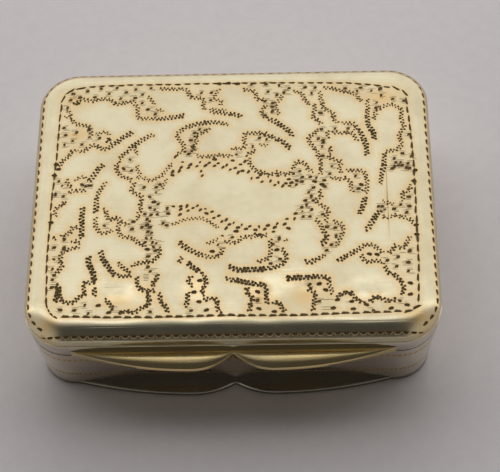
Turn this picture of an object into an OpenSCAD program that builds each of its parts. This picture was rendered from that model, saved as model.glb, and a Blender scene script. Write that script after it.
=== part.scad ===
// Silver vinaigrette: a shallow hinged box for aromatic vinegar, lying on its base with the lid closed.
// The lid has a rolled rim and a two-lobed thumb lip, and a pierced grille hinged inside holds down a sponge.
// Millimetres. X runs left to right, Y from front to back, Z up. The origin is the middle of the base underside.

/* [Case] */
// Width of the lid over its rim
lid_w = 33; // [28:0.5:42]
// Depth of the lid over its rim, front to back
lid_d = 26.2; // [22:0.2:34]
// Height from the base underside to the top of the lid
case_h = 8.9; // [8.5:0.1:11]
// Height of the line where the lid parts from the base
part_z = 5.8; // [5.2:0.1:6.2]
// How far the base wall leans in from the parting line down to the base plate
foot_in = 0.5; // [0.2:0.05:0.7]
// Corner radius of the rim in plan
corner_r = 3.4; // [2.8:0.1:4.5]

/* [Sheet silver] */
// Thickness of the base plate
base_t = 0.45; // [0.3:0.05:0.6]
// Thickness of the body wall
wall_t = 0.5; // [0.35:0.05:0.7]
// Thickness of the top plate of the lid
top_t = 0.45; // [0.3:0.05:0.6]

/* [Lid rim] */
// Radius of the rolled rim in section
rim_r = 1.1; // [0.8:0.05:1.4]
// Upright edge below the roll
rim_edge = 0.1; // [0.05:0.05:0.4]
// How far the rim overhangs the skirt below it
rim_overhang = 0.15; // [0.1:0.05:0.5]

/* [Front lips] */
// How far each lobe of the thumb lip stands out from the skirt
lip_reach = 1.6; // [1:0.05:2]
// How far each lobe of the base lip stands out from the foot of the wall
base_lip_reach = 1.25; // [0.9:0.05:1.8]
// How far the notch between the two lobes stands out
lip_notch = 0.3; // [0.1:0.05:0.5]
// Distance of each lobe's fullest point from the middle
lip_peak = 3.3; // [2.5:0.1:6]
// Flat wall left bare between the end of a lip and the round corner
lip_margin = 0.3; // [0.1:0.1:2]
// Thickness of the thumb lip where it meets the skirt
lip_root_t = 0.65; // [0.5:0.05:0.9]
// Thickness of the thumb lip at its fullest edge
lip_edge_t = 0.35; // [0.2:0.05:0.5]

/* [Bezel and seat] */
// Thickness of the bezel strip inside the wall
bezel_t = 0.35; // [0.25:0.05:0.5]
// How far the bezel rises into the lid
bezel_rise = 0.8; // [0.4:0.1:1.2]
// Height of the top of the ledge that carries the grille
seat_z = 4.4; // [3.8:0.1:4.5]
// Width of the ledge
seat_w = 0.9; // [0.6:0.05:1.3]
// Thickness of the ledge
seat_t = 0.35; // [0.25:0.05:0.5]

/* [Grille] */
// Thickness of the pierced plate
grille_t = 0.4; // [0.3:0.05:0.5]
// Width of the frame soldered on the plate
frame_w = 1; // [0.8:0.05:1.4]
// Thickness of the frame
frame_t = 0.25; // [0.15:0.05:0.35]
// Length of the leaves pierced round the middle
petal_l = 3.2; // [2:0.1:3.6]
// Width of the leaves pierced round the middle
petal_w = 1.25; // [0.8:0.05:1.4]
// Radius of the ring of round holes about the middle
ring_r = 5.1; // [4.9:0.1:5.4]
// Length of the leaves in the side and corner sprays
spray_l = 3.3; // [2:0.1:3.6]
// Width of the leaves in the side and corner sprays
spray_w = 0.9; // [0.5:0.05:1]
// Radius of the lifting tab
tab_r = 1.1; // [0.7:0.05:1.2]
// Thickness of the lifting tab
tab_t = 0.3; // [0.2:0.05:0.4]

/* [Hinges] */
// Length of the lid hinge over its five knuckles
hinge_l = 18; // [12:0.5:22]
// Outer radius of a lid hinge knuckle
knuckle_r = 0.7; // [0.6:0.05:0.9]
// Radius of the lid hinge pin
pin_r = 0.35; // [0.25:0.05:0.4]
// Thickness of the leaves that hold the knuckles
leaf_t = 0.45; // [0.3:0.05:0.6]
// Height of the leaves on the base wall
leaf_h = 1.5; // [1.2:0.1:1.9]
// Bare skirt left between the leaves on the lid and the rim
leaf_margin = 0.35; // [0.1:0.05:0.6]
// Length of the grille hinge over its three knuckles
grille_hinge_l = 9; // [6:0.5:14]
// Outer radius of a grille hinge knuckle
grille_knuckle_r = 0.5; // [0.45:0.05:0.6]
// Radius of the grille hinge pin
grille_pin_r = 0.25; // [0.2:0.05:0.3]
// Thickness of the grille hinge leaves
grille_leaf_t = 0.3; // [0.2:0.05:0.4]

/* [Sponge] */
// Gap between the sponge and the walls round it
sponge_gap = 0.3; // [0.2:0.05:0.6]
// Radius of the rounded upper edge of the sponge
sponge_r = 0.5; // [0.3:0.05:0.7]

/* [Clearances] */
// Gap between the closed lid and the base
lid_gap = 0.05; // [0.03:0.01:0.1]
// Gap between the bezel and the lid skirt that closes over it
slide_gap = 0.06; // [0.04:0.01:0.1]
// Gap all round each hinge pin
pin_gap = 0.02; // [0.01:0.01:0.05]
// Gap between neighbouring knuckles
knuckle_gap = 0.1; // [0.05:0.01:0.2]
// Gap between a knuckle and the wall behind it
wall_gap = 0.1; // [0.06:0.02:0.2]
// Gap between the grille and the bezel
grille_gap = 0.15; // [0.1:0.05:0.3]
// Gap between the sponge and the plates above and below it
rest_gap = 0.05; // [0.02:0.01:0.1]

/* [Hidden] */
$fn = 96;
big_fn = 720;
cut = 1;
least_r = 0.2;

silver = "#c9c6bb";
gilt = "#c9a24b";
sponge_colour = "#b58a4e";

// Plan of the body, set in from the rim
body_w = lid_w - 2 * rim_overhang;
body_d = lid_d - 2 * rim_overhang;
body_r = corner_r - rim_overhang;

// Plan at the foot of the leaning wall, and how much the wall leans out per millimetre of height
foot_w = body_w - 2 * foot_in;
foot_d = body_d - 2 * foot_in;
foot_r = body_r - foot_in;
wall_h = part_z - base_t;
lean = foot_in / wall_h;

// Levels
lid_z = part_z + lid_gap;
rim_z = case_h - rim_r - rim_edge;
ceiling_z = case_h - top_t;
bezel_top = part_z + bezel_rise;
bezel_z = seat_z - seat_t;
grille_top = seat_z + grille_t;
frame_top = grille_top + frame_t;

// The bezel stands upright from where its lower edge touches the leaning wall
bezel_in = wall_t + lean * (part_z - bezel_z);
inner_w = body_w - 2 * bezel_in;
inner_d = body_d - 2 * bezel_in;
inner_r = body_r - bezel_in;
bezel_w = inner_w - 2 * bezel_t;
bezel_d = inner_d - 2 * bezel_t;
bezel_r = inner_r - bezel_t;

// The sponge fits the narrowest part of the well, at the foot of the wall
sponge_in = wall_t + sponge_gap;

// The skirt is thick enough to close over the bezel with a small gap
skirt_t = bezel_in - slide_gap;
skirt_in_w = body_w - 2 * skirt_t;
skirt_in_d = body_d - 2 * skirt_t;
skirt_in_r = body_r - skirt_t;

// Lid hinge: the axis lies on the parting line, behind the back wall
hinge_y = body_d / 2 + wall_gap + knuckle_r;
hinge_z = part_z + lid_gap / 2;
knuckle_step = hinge_l / 5;
knuckle_l = knuckle_step - knuckle_gap;
lid_leaf_h = rim_z - lid_z - leaf_margin;

// Grille hinge: the knuckle lies on the frame, in front of the bezel
bracket_merge = 0.1;
grille_axis_y = bezel_d / 2 - grille_leaf_t - grille_knuckle_r + bracket_merge;
grille_axis_z = frame_top + grille_knuckle_r;
grille_step = grille_hinge_l / 3;
grille_knuckle_l = grille_step - knuckle_gap;

// Plan of the grille, from the front of the bezel back to its hinge line
back_relief = 0.1;
grille_w = bezel_w - 2 * grille_gap;
grille_front = -bezel_d / 2 + grille_gap;
grille_back = grille_axis_y - back_relief;
grille_d = grille_back - grille_front;
grille_y = (grille_back + grille_front) / 2;
grille_r = bezel_r - grille_gap;

// Lips: each lobe is a long arc from its end to its fullest point and a short one down to the notch
lip_end = body_w / 2 - body_r - lip_margin;
function arc_radius(span, rise) = (span * span + rise * rise) / (2 * rise);

// Rounded rectangle about the origin
module rounded(w, d, r) {
    square([w - 2 * r, d], center = true);
    square([w, d - 2 * r], center = true);
    for (x = [-1, 1], y = [-1, 1])
        translate([x * (w / 2 - r), y * (d / 2 - r)]) circle(r);
}

// Upright wall of thickness t on a rounded rectangle
module ring_wall(w, d, r, t, z, h) {
    translate([0, 0, z]) linear_extrude(h) difference() {
        rounded(w, d, r);
        rounded(w - 2 * t, d - 2 * t, max(r - t, least_r));
    }
}

// Rounded rectangle block whose sides lean out by lean per millimetre of height
module leaning_block(w, d, corner, h) {
    out = lean * h;
    rotate([90, 0, 90]) translate([0, 0, corner - w / 2]) linear_extrude(w - 2 * corner)
        polygon([[-d / 2, 0], [d / 2, 0], [d / 2 + out, h], [-d / 2 - out, h]]);
    rotate([90, 0, 0]) translate([0, 0, corner - d / 2]) linear_extrude(d - 2 * corner)
        polygon([[-w / 2, 0], [w / 2, 0], [w / 2 + out, h], [-w / 2 - out, h]]);
    for (x = [-1, 1], y = [-1, 1])
        translate([x * (w / 2 - corner), y * (d / 2 - corner), 0]) cylinder(r1 = corner, r2 = corner + out, h = h);
}

// Section of a block of width w with a quarter-round along each upper edge
module crowned_section(w, h, r) {
    translate([-w / 2, 0]) square([w, h - r]);
    translate([-w / 2 + r, 0]) square([w - 2 * r, h]);
    for (x = [-1, 1])
        translate([x * (w / 2 - r), h - r]) intersection() {
            circle(r);
            translate([-r, 0]) square([2 * r, r]);
        }
}

// Rounded rectangle block whose upper edge is rolled over all round
module crowned_block(w, d, corner, h, r) {
    rotate([90, 0, 90]) translate([0, 0, corner - w / 2])
        linear_extrude(w - 2 * corner) crowned_section(d, h, r);
    rotate([90, 0, 0]) translate([0, 0, corner - d / 2])
        linear_extrude(d - 2 * corner) crowned_section(w, h, r);
    for (x = [-1, 1], y = [-1, 1])
        translate([x * (w / 2 - corner), y * (d / 2 - corner), 0])
            rotate_extrude() intersection() {
                crowned_section(2 * corner, h, r);
                square([corner + cut, h]);
            }
}

// Plan of one lobe on the side of +X, from root behind the line y = 0 out towards +Y
module lobe(reach, root) {
    long_r = arc_radius(lip_end - lip_peak, reach);
    short_r = arc_radius(lip_peak, reach - lip_notch);
    intersection() {
        translate([lip_peak, reach - long_r]) circle(long_r, $fn = big_fn);
        translate([lip_peak, -root]) square([lip_end - lip_peak + cut, reach + root]);
    }
    intersection() {
        translate([lip_peak, reach - short_r]) circle(short_r, $fn = big_fn);
        translate([0, -root]) square([lip_peak, reach + root]);
    }
}

// Plan of a two-lobed lip that stands out from the line at y towards the front
module lip_plan(y, reach, root) {
    translate([0, y]) mirror([0, 1]) {
        lobe(reach, root);
        mirror([1, 0]) lobe(reach, root);
    }
}

// Tube along X on the hinge axis, from the middle x over length l
module knuckle_tube(x, l, r, y, z) {
    translate([x - l / 2, y, z]) rotate([0, 90, 0]) cylinder(r = r, h = l);
}

// Pin with its ends flush with the outermost knuckles
module hinge_pin(l, r, y, z) {
    knuckle_tube(0, l - knuckle_gap, r, y, z);
}

// Solid of the base up to the parting line
module base_solid() {
    translate([0, 0, base_t]) leaning_block(foot_w, foot_d, foot_r, wall_h);
}

// One knuckle of the lid hinge: its leaf lies on the wall above (side 1) or below (side -1) the axis
module lid_knuckle(place, side) {
    x = place * knuckle_step;
    root_y = body_d / 2 - (side > 0 ? 0 : wall_t);
    difference() {
        union() {
            knuckle_tube(x, knuckle_l, knuckle_r, hinge_y, hinge_z);
            translate([x - knuckle_l / 2, root_y, side > 0 ? lid_z : part_z - leaf_h])
                cube([knuckle_l, body_d / 2 + leaf_t - root_y, side > 0 ? lid_leaf_h : leaf_h]);
            translate([x - knuckle_l / 2, root_y, side > 0 ? lid_z : part_z - knuckle_r])
                cube([knuckle_l, hinge_y - root_y, knuckle_r]);
        }
        knuckle_tube(x, knuckle_l + 2 * cut, pin_r + pin_gap, hinge_y, hinge_z);
        if (side < 0) base_solid();
    }
}

// One fixed knuckle of the grille hinge, on a leaf against the back of the bezel
module grille_bracket(place) {
    x = place * grille_step;
    difference() {
        union() {
            knuckle_tube(x, grille_knuckle_l, grille_knuckle_r, grille_axis_y, grille_axis_z);
            translate([x - grille_knuckle_l / 2, bezel_d / 2 - grille_leaf_t, grille_axis_z - grille_knuckle_r])
                cube([grille_knuckle_l, grille_leaf_t, 2 * grille_knuckle_r]);
        }
        knuckle_tube(x, grille_knuckle_l + 2 * cut, grille_pin_r + pin_gap, grille_axis_y, grille_axis_z);
    }
}

// Pointed leaf from the origin along +X
module leaf(l, w) {
    r = arc_radius(l / 2, w / 2);
    translate([l / 2, 0]) intersection() {
        translate([0, r - w / 2]) circle(r);
        translate([0, w / 2 - r]) circle(r);
    }
}

// Spray of n leaves fanned about +X, each starting start_r from the root
module spray(n, step, start_r, l, w) {
    for (i = [0 : n - 1])
        rotate((i - (n - 1) / 2) * step) translate([start_r, 0]) leaf(l, w);
}

// Small flower of round holes
module floret(n, r, hole_r, eye_r) {
    circle(eye_r);
    for (i = [0 : n - 1])
        rotate(i * 360 / n) translate([r, 0]) circle(hole_r);
}

// Base plate, cut with the lower lip in one piece
module base_plate() {
    color(silver) linear_extrude(base_t) {
        rounded(foot_w, foot_d, foot_r);
        lip_plan(-foot_d / 2, base_lip_reach, wall_t);
    }
}

// Wall of the base, leaning out from the base plate to the parting line
module body_wall() {
    side = wall_t + lean * cut;
    color(silver) difference() {
        base_solid();
        translate([0, 0, base_t - cut])
            leaning_block(foot_w - 2 * side, foot_d - 2 * side, foot_r - side, wall_h + 2 * cut);
    }
}

// Strip soldered inside the wall, over which the lid closes
module body_bezel() {
    color(gilt) ring_wall(inner_w, inner_d, inner_r, bezel_t, bezel_z, bezel_top - bezel_z);
}

// Ledge inside the bezel that carries the grille
module grille_seat() {
    color(gilt) ring_wall(bezel_w, bezel_d, bezel_r, seat_w, bezel_z, seat_t);
}

// Sponge in the well under the grille
module sponge() {
    color(sponge_colour) translate([0, 0, base_t + rest_gap])
        crowned_block(foot_w - 2 * sponge_in, foot_d - 2 * sponge_in, foot_r - sponge_in,
            bezel_z - base_t - 2 * rest_gap, sponge_r);
}

// Fixed knuckles of the lid hinge
module body_knuckle_left() { color(silver) lid_knuckle(-2, -1); }
module body_knuckle_middle() { color(silver) lid_knuckle(0, -1); }
module body_knuckle_right() { color(silver) lid_knuckle(2, -1); }

// Pin of the lid hinge
module lid_hinge_pin() { color(silver) hinge_pin(hinge_l, pin_r, hinge_y, hinge_z); }

// Fixed knuckles of the grille hinge
module grille_bracket_left() { color(gilt) grille_bracket(-1); }
module grille_bracket_right() { color(gilt) grille_bracket(1); }

// Pin of the grille hinge
module grille_hinge_pin() { color(gilt) hinge_pin(grille_hinge_l, grille_pin_r, grille_axis_y, grille_axis_z); }

// Top of the lid with its rolled rim, hollow inside the skirt
module lid_top() {
    color(silver) difference() {
        translate([0, 0, rim_z]) crowned_block(lid_w, lid_d, corner_r, case_h - rim_z, rim_r);
        translate([0, 0, rim_z - cut]) linear_extrude(ceiling_z - rim_z + cut)
            rounded(skirt_in_w, skirt_in_d, skirt_in_r);
    }
}

// Skirt of the lid, which closes over the bezel
module lid_skirt() {
    color(silver) ring_wall(body_w, body_d, body_r, skirt_t, lid_z, rim_z - lid_z);
}

// Thumb lip on the lower edge of the skirt, thinning from its root to its edge
module thumb_lip() {
    color(silver) intersection() {
        translate([0, 0, lid_z]) linear_extrude(lip_root_t) lip_plan(-body_d / 2, lip_reach, 0);
        translate([-body_w / 2, -body_d / 2, lid_z]) rotate([90, 0, 90]) linear_extrude(body_w)
            polygon([[0, 0], [0, lip_root_t], [-lip_reach, lip_edge_t], [-lip_reach, 0]]);
    }
}

// Moving knuckles of the lid hinge
module lid_knuckle_left() { color(silver) lid_knuckle(-1, 1); }
module lid_knuckle_right() { color(silver) lid_knuckle(1, 1); }

// Piercings of the grille: a flower in the middle, sprays of leaves at the sides and corners, florets between
module piercings() {
    petal_start = 1;
    petals = 8;
    eye_r = 0.5;
    ring_holes = 16;
    ring_hole_r = 0.38;
    spray_start = 0.9;
    spray_edge = 1.1;
    side_fan = 33;
    corner_fan = 20;
    corner_start = 1.3;
    end_fan = 40;
    end_l = spray_l * 0.65;
    floret_holes = 6;
    floret_r = 1.3;
    floret_hole_r = 0.32;
    window_w = grille_w - 2 * frame_w;
    window_d = grille_d - 2 * frame_w;
    floret_x = window_w * 0.21;
    floret_y = window_d * 0.34;
    side_root = window_w / 2 - spray_edge - spray_l - spray_start;
    end_root = window_d / 2 - spray_edge - end_l - spray_start;
    circle(eye_r);
    for (i = [0 : petals - 1]) rotate(i * 360 / petals) translate([petal_start, 0]) leaf(petal_l, petal_w);
    for (i = [0 : ring_holes - 1]) rotate((i + 0.5) * 360 / ring_holes) translate([ring_r, 0]) circle(ring_hole_r);
    for (x = [0, 1]) mirror([x, 0]) {
        translate([side_root, 0]) spray(5, side_fan, spray_start, spray_l, spray_w);
        for (y = [0, 1]) mirror([0, y]) {
            translate([window_w / 2 - spray_edge, window_d / 2 - spray_edge])
                rotate(225) spray(5, corner_fan, corner_start, spray_l, spray_w);
            translate([floret_x, floret_y]) floret(floret_holes, floret_r, floret_hole_r, eye_r);
        }
    }
    for (y = [0, 1]) mirror([0, y])
        translate([0, end_root]) rotate(90) spray(3, end_fan, spray_start, end_l, spray_w);
}

// Pierced plate of the grille
module grille_plate() {
    color(gilt) translate([0, grille_y, seat_z]) linear_extrude(grille_t) difference() {
        rounded(grille_w, grille_d, grille_r);
        piercings();
    }
}

// Frame soldered round the top of the pierced plate
module grille_frame() {
    color(gilt) translate([0, grille_y, 0])
        ring_wall(grille_w, grille_d, grille_r, frame_w, grille_top, frame_t);
}

// Moving knuckle of the grille hinge, on a leaf over the frame
module grille_knuckle() {
    color(gilt) difference() {
        union() {
            knuckle_tube(0, grille_knuckle_l, grille_knuckle_r, grille_axis_y, grille_axis_z);
            translate([-grille_knuckle_l / 2, grille_back - frame_w, frame_top])
                cube([grille_knuckle_l, grille_axis_y - grille_back + frame_w, grille_leaf_t]);
        }
        knuckle_tube(0, grille_knuckle_l + 2 * cut, grille_pin_r + pin_gap, grille_axis_y, grille_axis_z);
    }
}

// Half-round tab for lifting the grille, on the front of the frame
module grille_tab() {
    color(gilt) translate([0, grille_front, frame_top]) linear_extrude(tab_t) intersection() {
        circle(tab_r);
        translate([-tab_r, 0]) square([2 * tab_r, tab_r]);
    }
}

base_plate();
body_wall();
body_bezel();
grille_seat();
sponge();
body_knuckle_left();
body_knuckle_middle();
body_knuckle_right();
lid_hinge_pin();
grille_bracket_left();
grille_bracket_right();
grille_hinge_pin();
lid_top();
lid_skirt();
thumb_lip();
lid_knuckle_left();
lid_knuckle_right();
grille_plate();
grille_frame();
grille_knuckle();
grille_tab();
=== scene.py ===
import math

import bpy
import numpy as np
from mathutils import Matrix, Vector
from mathutils.geometry import delaunay_2d_cdt


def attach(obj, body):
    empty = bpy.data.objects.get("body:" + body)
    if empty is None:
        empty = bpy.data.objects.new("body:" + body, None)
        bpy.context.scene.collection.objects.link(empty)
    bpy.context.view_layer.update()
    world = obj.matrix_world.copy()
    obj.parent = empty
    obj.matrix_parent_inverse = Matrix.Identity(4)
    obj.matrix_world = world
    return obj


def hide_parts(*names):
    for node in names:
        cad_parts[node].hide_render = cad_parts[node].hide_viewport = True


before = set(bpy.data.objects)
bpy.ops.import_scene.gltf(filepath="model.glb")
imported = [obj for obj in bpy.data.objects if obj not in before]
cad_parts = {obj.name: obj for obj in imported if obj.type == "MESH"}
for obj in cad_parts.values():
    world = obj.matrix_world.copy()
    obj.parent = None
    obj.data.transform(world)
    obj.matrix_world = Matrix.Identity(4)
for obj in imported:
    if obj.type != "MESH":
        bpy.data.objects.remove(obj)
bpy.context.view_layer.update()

# Camera: a long lens well above the front of the box, turned and tilted a little.
# Its place comes from fitting the lid's border, the rim and the lips in the photograph.
mm = 0.001
photo_px = 500
lens_px = 1645.8
sensor_mm = 36
nearest_m = 0.01
view_turn = math.radians(2.598)
view_rise = math.radians(57.838)
view_roll = math.radians(-3.144)
view_aim = Vector((1.416, -3.997, 8.9)) * mm
view_far = 131.89 * mm

view_back = Vector((math.sin(view_turn) * math.cos(view_rise), -math.cos(view_turn) * math.cos(view_rise),
                    math.sin(view_rise)))
level_right = Vector((math.cos(view_turn), math.sin(view_turn), 0))
level_up = view_back.cross(level_right)
view_right = math.cos(view_roll) * level_right + math.sin(view_roll) * level_up
view_up = math.cos(view_roll) * level_up - math.sin(view_roll) * level_right

scene = bpy.context.scene
camera = bpy.data.objects.new("camera", bpy.data.cameras.new("camera"))
camera.data.sensor_width = sensor_mm
camera.data.lens = lens_px / photo_px * sensor_mm
camera.data.clip_start = nearest_m
camera.matrix_world = Matrix.Translation(view_aim + view_back * view_far) @ Matrix(
    (view_right, view_up, view_back)).transposed().to_4x4()
scene.collection.objects.link(camera)
scene.camera = camera
scene.view_settings.view_transform = "Standard"


# Base plate: flat sheet silver sawn out in one piece with the two-lobed lower lip at its front.
# Its edges are filed round, most along the lip, and the wall is soldered on top of it.
foot_w, foot_d, foot_r = 31.7, 24.9, 2.75
base_t = 0.45
base_lip_reach = 1.25
lip_notch, lip_peak, lip_end = 0.3, 3.3, 12.8
foot_round, lip_round, ease_share = 0.08, 0.20, 0.3
brow_turns = np.radians([0, 18, 36, 54, 72, 90])
# The plate's silver is dark with tarnish and darker still with painted shade, which stands for the shadow
# under the upper lip.
foot_tarnish_and_shade_colour = (0.33, 0.30, 0.24, 1)
foot_tarnish_and_shade_cloud = (0.24, 0.20, 0.14, 1)
side_steps, end_steps, corner_steps = 72, 52, 12
smooth_below = 40


def plan_ring(width, depth, radius):
    """Points round a rounded rectangle from the middle of its back, left about, always the same count."""
    x, y = width / 2 - radius, depth / 2 - radius
    spots = []

    def straight(start, end, steps):
        spots.extend(np.linspace(start, end, steps, endpoint=False))

    def corner(middle, start):
        turn = math.radians(start) + np.linspace(0, math.pi / 2, corner_steps, endpoint=False)
        spots.extend(np.array(middle) + radius * np.stack([np.cos(turn), np.sin(turn)], 1))

    straight((0, depth / 2), (-x, depth / 2), side_steps // 2)
    corner((-x, y), 90)
    straight((-width / 2, y), (-width / 2, -y), end_steps)
    corner((-x, -y), 180)
    straight((-x, -depth / 2), (x, -depth / 2), side_steps)
    corner((x, -y), 270)
    straight((width / 2, -y), (width / 2, y), end_steps)
    corner((x, y), 0)
    straight((x, depth / 2), (0, depth / 2), side_steps // 2)
    return np.array(spots)


def lip_reach_at(x, reach):
    """How far a two-lobed lip stands out at x: a long arc from each end to the peak, a short one from
    there to the notch."""
    x = np.abs(np.asarray(x, float))
    span = np.where(x > lip_peak, lip_end - lip_peak, lip_peak)
    rise = np.where(x > lip_peak, reach, reach - lip_notch)
    radius = (span ** 2 + rise ** 2) / (2 * rise)
    out = reach - radius + np.sqrt(np.maximum(radius ** 2 - (x - lip_peak) ** 2, 0))
    return np.where(x < lip_end, np.maximum(out, 0), 0)


def drawn_in(plan, amount):
    """The same closed outline drawn in by amount along each point's own normal."""
    along = np.roll(plan, -1, 0) - np.roll(plan, 1, 0)
    along /= np.linalg.norm(along, axis=1, keepdims=True)
    return plan - amount * np.stack([along[:, 1], -along[:, 0]], 1)


class Shell:
    """Gathers the points and faces of one piece, in millimetres."""

    def __init__(self):
        self.points, self.faces, self.finish, self.flat = [], [], [], []

    def add(self, points):
        start = len(self.points)
        self.points.extend(np.asarray(points, float).tolist())
        return np.arange(start, len(self.points))

    def loop(self, plan, height):
        return self.add(np.column_stack([plan, np.full(len(plan), height)]))

    def face(self, corners, finish=0, flat=False):
        self.faces.append([int(c) for c in corners])
        self.finish.append(finish)
        self.flat.append(flat)

    def bridge(self, lower, upper, finish=0):
        for a, b, c, d in zip(lower, np.roll(lower, -1), np.roll(upper, -1), upper):
            self.face((a, b, c, d), finish)

    def stack(self, plans, heights, finish=0):
        """Loops joined one above the other. Returns the first and the last."""
        loops = [self.loop(p, z) for p, z in zip(plans, heights)]
        for lower, upper in zip(loops, loops[1:]):
            self.bridge(lower, upper, finish)
        return loops[0], loops[-1]


def make_piece(shell, name, finishes, body, nodes, crease=smooth_below):
    """The shell as an object that moves with a body and stands for the nodes."""
    mesh = bpy.data.meshes.new(name)
    mesh.from_pydata((np.array(shell.points) * mm).tolist(), [], shell.faces)
    for finish in finishes:
        mesh.materials.append(finish)
    mesh.polygons.foreach_set("material_index", shell.finish)
    mesh.set_sharp_from_angle(angle=math.radians(crease))
    mesh.polygons.foreach_set("use_smooth", [not f for f in shell.flat])
    mesh.validate()
    piece = bpy.data.objects.new(name, mesh)
    scene.collection.objects.link(piece)
    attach(piece, body)
    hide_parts(*nodes)
    return piece


def new_node(tree, kind, **values):
    """A node with its properties set, and its inputs set by socket name or number, or linked from other
    sockets."""
    made = tree.nodes.new(kind)
    inputs = values.pop("inputs", {})
    for key, value in values.items():
        setattr(made, key, value)
    for key, value in inputs.items():
        if isinstance(value, bpy.types.NodeSocket):
            tree.links.new(value, made.inputs[key])
        else:
            made.inputs[key].default_value = value
    return made


def new_group(name, inputs, outputs):
    """An empty shader node group with its named sockets, and the node that brings its inputs in."""
    group = bpy.data.node_groups.new(name, "ShaderNodeTree")
    for socket, kind in inputs.items():
        group.interface.new_socket(socket, in_out="INPUT", socket_type="NodeSocket" + kind)
    for socket, kind in outputs.items():
        group.interface.new_socket(socket, in_out="OUTPUT", socket_type="NodeSocket" + kind)
    return group, new_node(group, "NodeGroupInput").outputs


def stretched_noise(tree, coordinates, turn, stretch, detail, low, high):
    """Noise drawn out along one direction and cut to the range from low to high."""
    mapped = new_node(tree, "ShaderNodeMapping", inputs={
        "Vector": coordinates, "Rotation": (0, 0, turn), "Scale": stretch})
    noise = new_node(tree, "ShaderNodeTexNoise", inputs={
        "Vector": mapped.outputs[0], "Scale": 1.0, "Detail": detail, "Roughness": 0.6})
    cut = new_node(tree, "ShaderNodeMapRange", interpolation_type="SMOOTHSTEP", inputs={
        "Value": noise.outputs[0], "From Min": low, "From Max": high})
    return cut.outputs[0]


def handling_wear():
    """Group: marks of two centuries of handling, as masks for scratches, polishing streaks, clouded patches
    and fine grain."""
    scratch_turns, scratch_stretch = (0.35, -1.15, 1.75), (60, 3200, 3200)
    streak_stretch = (45, 45, 3600)
    group, given = new_group(
        "handling_wear", {"Patch Scale": "Float", "Grain Scale": "Float"},
        {"Scratches": "Float", "Streaks": "Float", "Patches": "Float", "Grain": "Float"})
    where = new_node(group, "ShaderNodeTexCoord").outputs["Object"]
    scratches = [stretched_noise(group, where, turn, scratch_stretch, 2.0, 0.62, 0.78)
                 for turn in scratch_turns]
    most = scratches[0]
    for other in scratches[1:]:
        most = new_node(group, "ShaderNodeMath", operation="MAXIMUM", inputs={0: most, 1: other}).outputs[0]
    streaks = stretched_noise(group, where, 0, streak_stretch, 3.0, 0.35, 0.70)
    patches = new_node(group, "ShaderNodeTexNoise", inputs={
        "Vector": where, "Scale": given["Patch Scale"], "Detail": 5.0, "Roughness": 0.62})
    clouds = new_node(group, "ShaderNodeMapRange", interpolation_type="SMOOTHSTEP", inputs={
        "Value": patches.outputs[0], "From Min": 0.38, "From Max": 0.68})
    grain = new_node(group, "ShaderNodeTexNoise", inputs={
        "Vector": where, "Scale": given["Grain Scale"], "Detail": 3.0, "Roughness": 0.7})
    new_node(group, "NodeGroupOutput", inputs={
        "Scratches": most, "Streaks": streaks, "Patches": clouds.outputs[0], "Grain": grain.outputs[0]})
    return group


wear_group = handling_wear()


def worked_metal(name, colour, shade, roughness, wear=0.25, marks="Scratches"):
    """Old metal with a clouded colour and polish, and marks and grain in its surface."""
    patch_scale, grain_scale = 220.0, 9000.0
    cloud_share = 0.6
    mark_depth = 0.01 * mm
    finish = bpy.data.materials.new(name)
    finish.use_nodes = True
    tree = finish.node_tree
    shader = tree.nodes["Principled BSDF"]
    shader.inputs["Metallic"].default_value = 1.0
    worn = new_node(tree, "ShaderNodeGroup", node_tree=wear_group, inputs={
        "Patch Scale": patch_scale, "Grain Scale": grain_scale}).outputs
    amount = new_node(tree, "ShaderNodeMath", operation="MULTIPLY", inputs={
        0: worn["Patches"], 1: cloud_share})
    tint = new_node(tree, "ShaderNodeMix", data_type="RGBA", inputs={
        0: amount.outputs[0], 6: colour, 7: shade})
    tree.links.new(tint.outputs[2], shader.inputs["Base Color"])
    rough = new_node(tree, "ShaderNodeMapRange", inputs={
        "Value": worn["Patches"], "To Min": roughness[0], "To Max": roughness[1]})
    tree.links.new(rough.outputs[0], shader.inputs["Roughness"])
    height = new_node(tree, "ShaderNodeMath", operation="SUBTRACT", inputs={
        0: worn["Grain"], 1: worn[marks]})
    bump = new_node(tree, "ShaderNodeBump", inputs={
        "Strength": wear, "Distance": mark_depth, "Height": height.outputs[0]})
    tree.links.new(bump.outputs[0], shader.inputs["Normal"])
    return finish


foot_shaded_silver = worked_metal("tarnished_and_shaded_silver", foot_tarnish_and_shade_colour, foot_tarnish_and_shade_cloud, roughness=(0.14, 0.26))
front = plan_ring(foot_w, foot_d, foot_r)
on_front = np.isclose(front[:, 1], -foot_d / 2)
reach = np.zeros(len(front))
reach[on_front] = lip_reach_at(front[on_front, 0], base_lip_reach)
front[:, 1] -= reach
brow_round = np.interp(reach, (0, 2 * lip_round), (foot_round, lip_round))
shell = Shell()
plans = [drawn_in(front, foot_round), drawn_in(front, foot_round * ease_share), front]
heights = [0, foot_round * ease_share, foot_round]
for turn in brow_turns:
    plans.append(drawn_in(front, brow_round[:, None] * (1 - math.cos(turn))))
    heights.append(base_t - brow_round * (1 - math.sin(turn)))
foot, brow = shell.stack(plans, heights)
shell.face(foot[::-1])
shell.face(brow)
make_piece(shell, "base_plate_with_lip", [foot_shaded_silver], "body", ["base_plate"])


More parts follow.
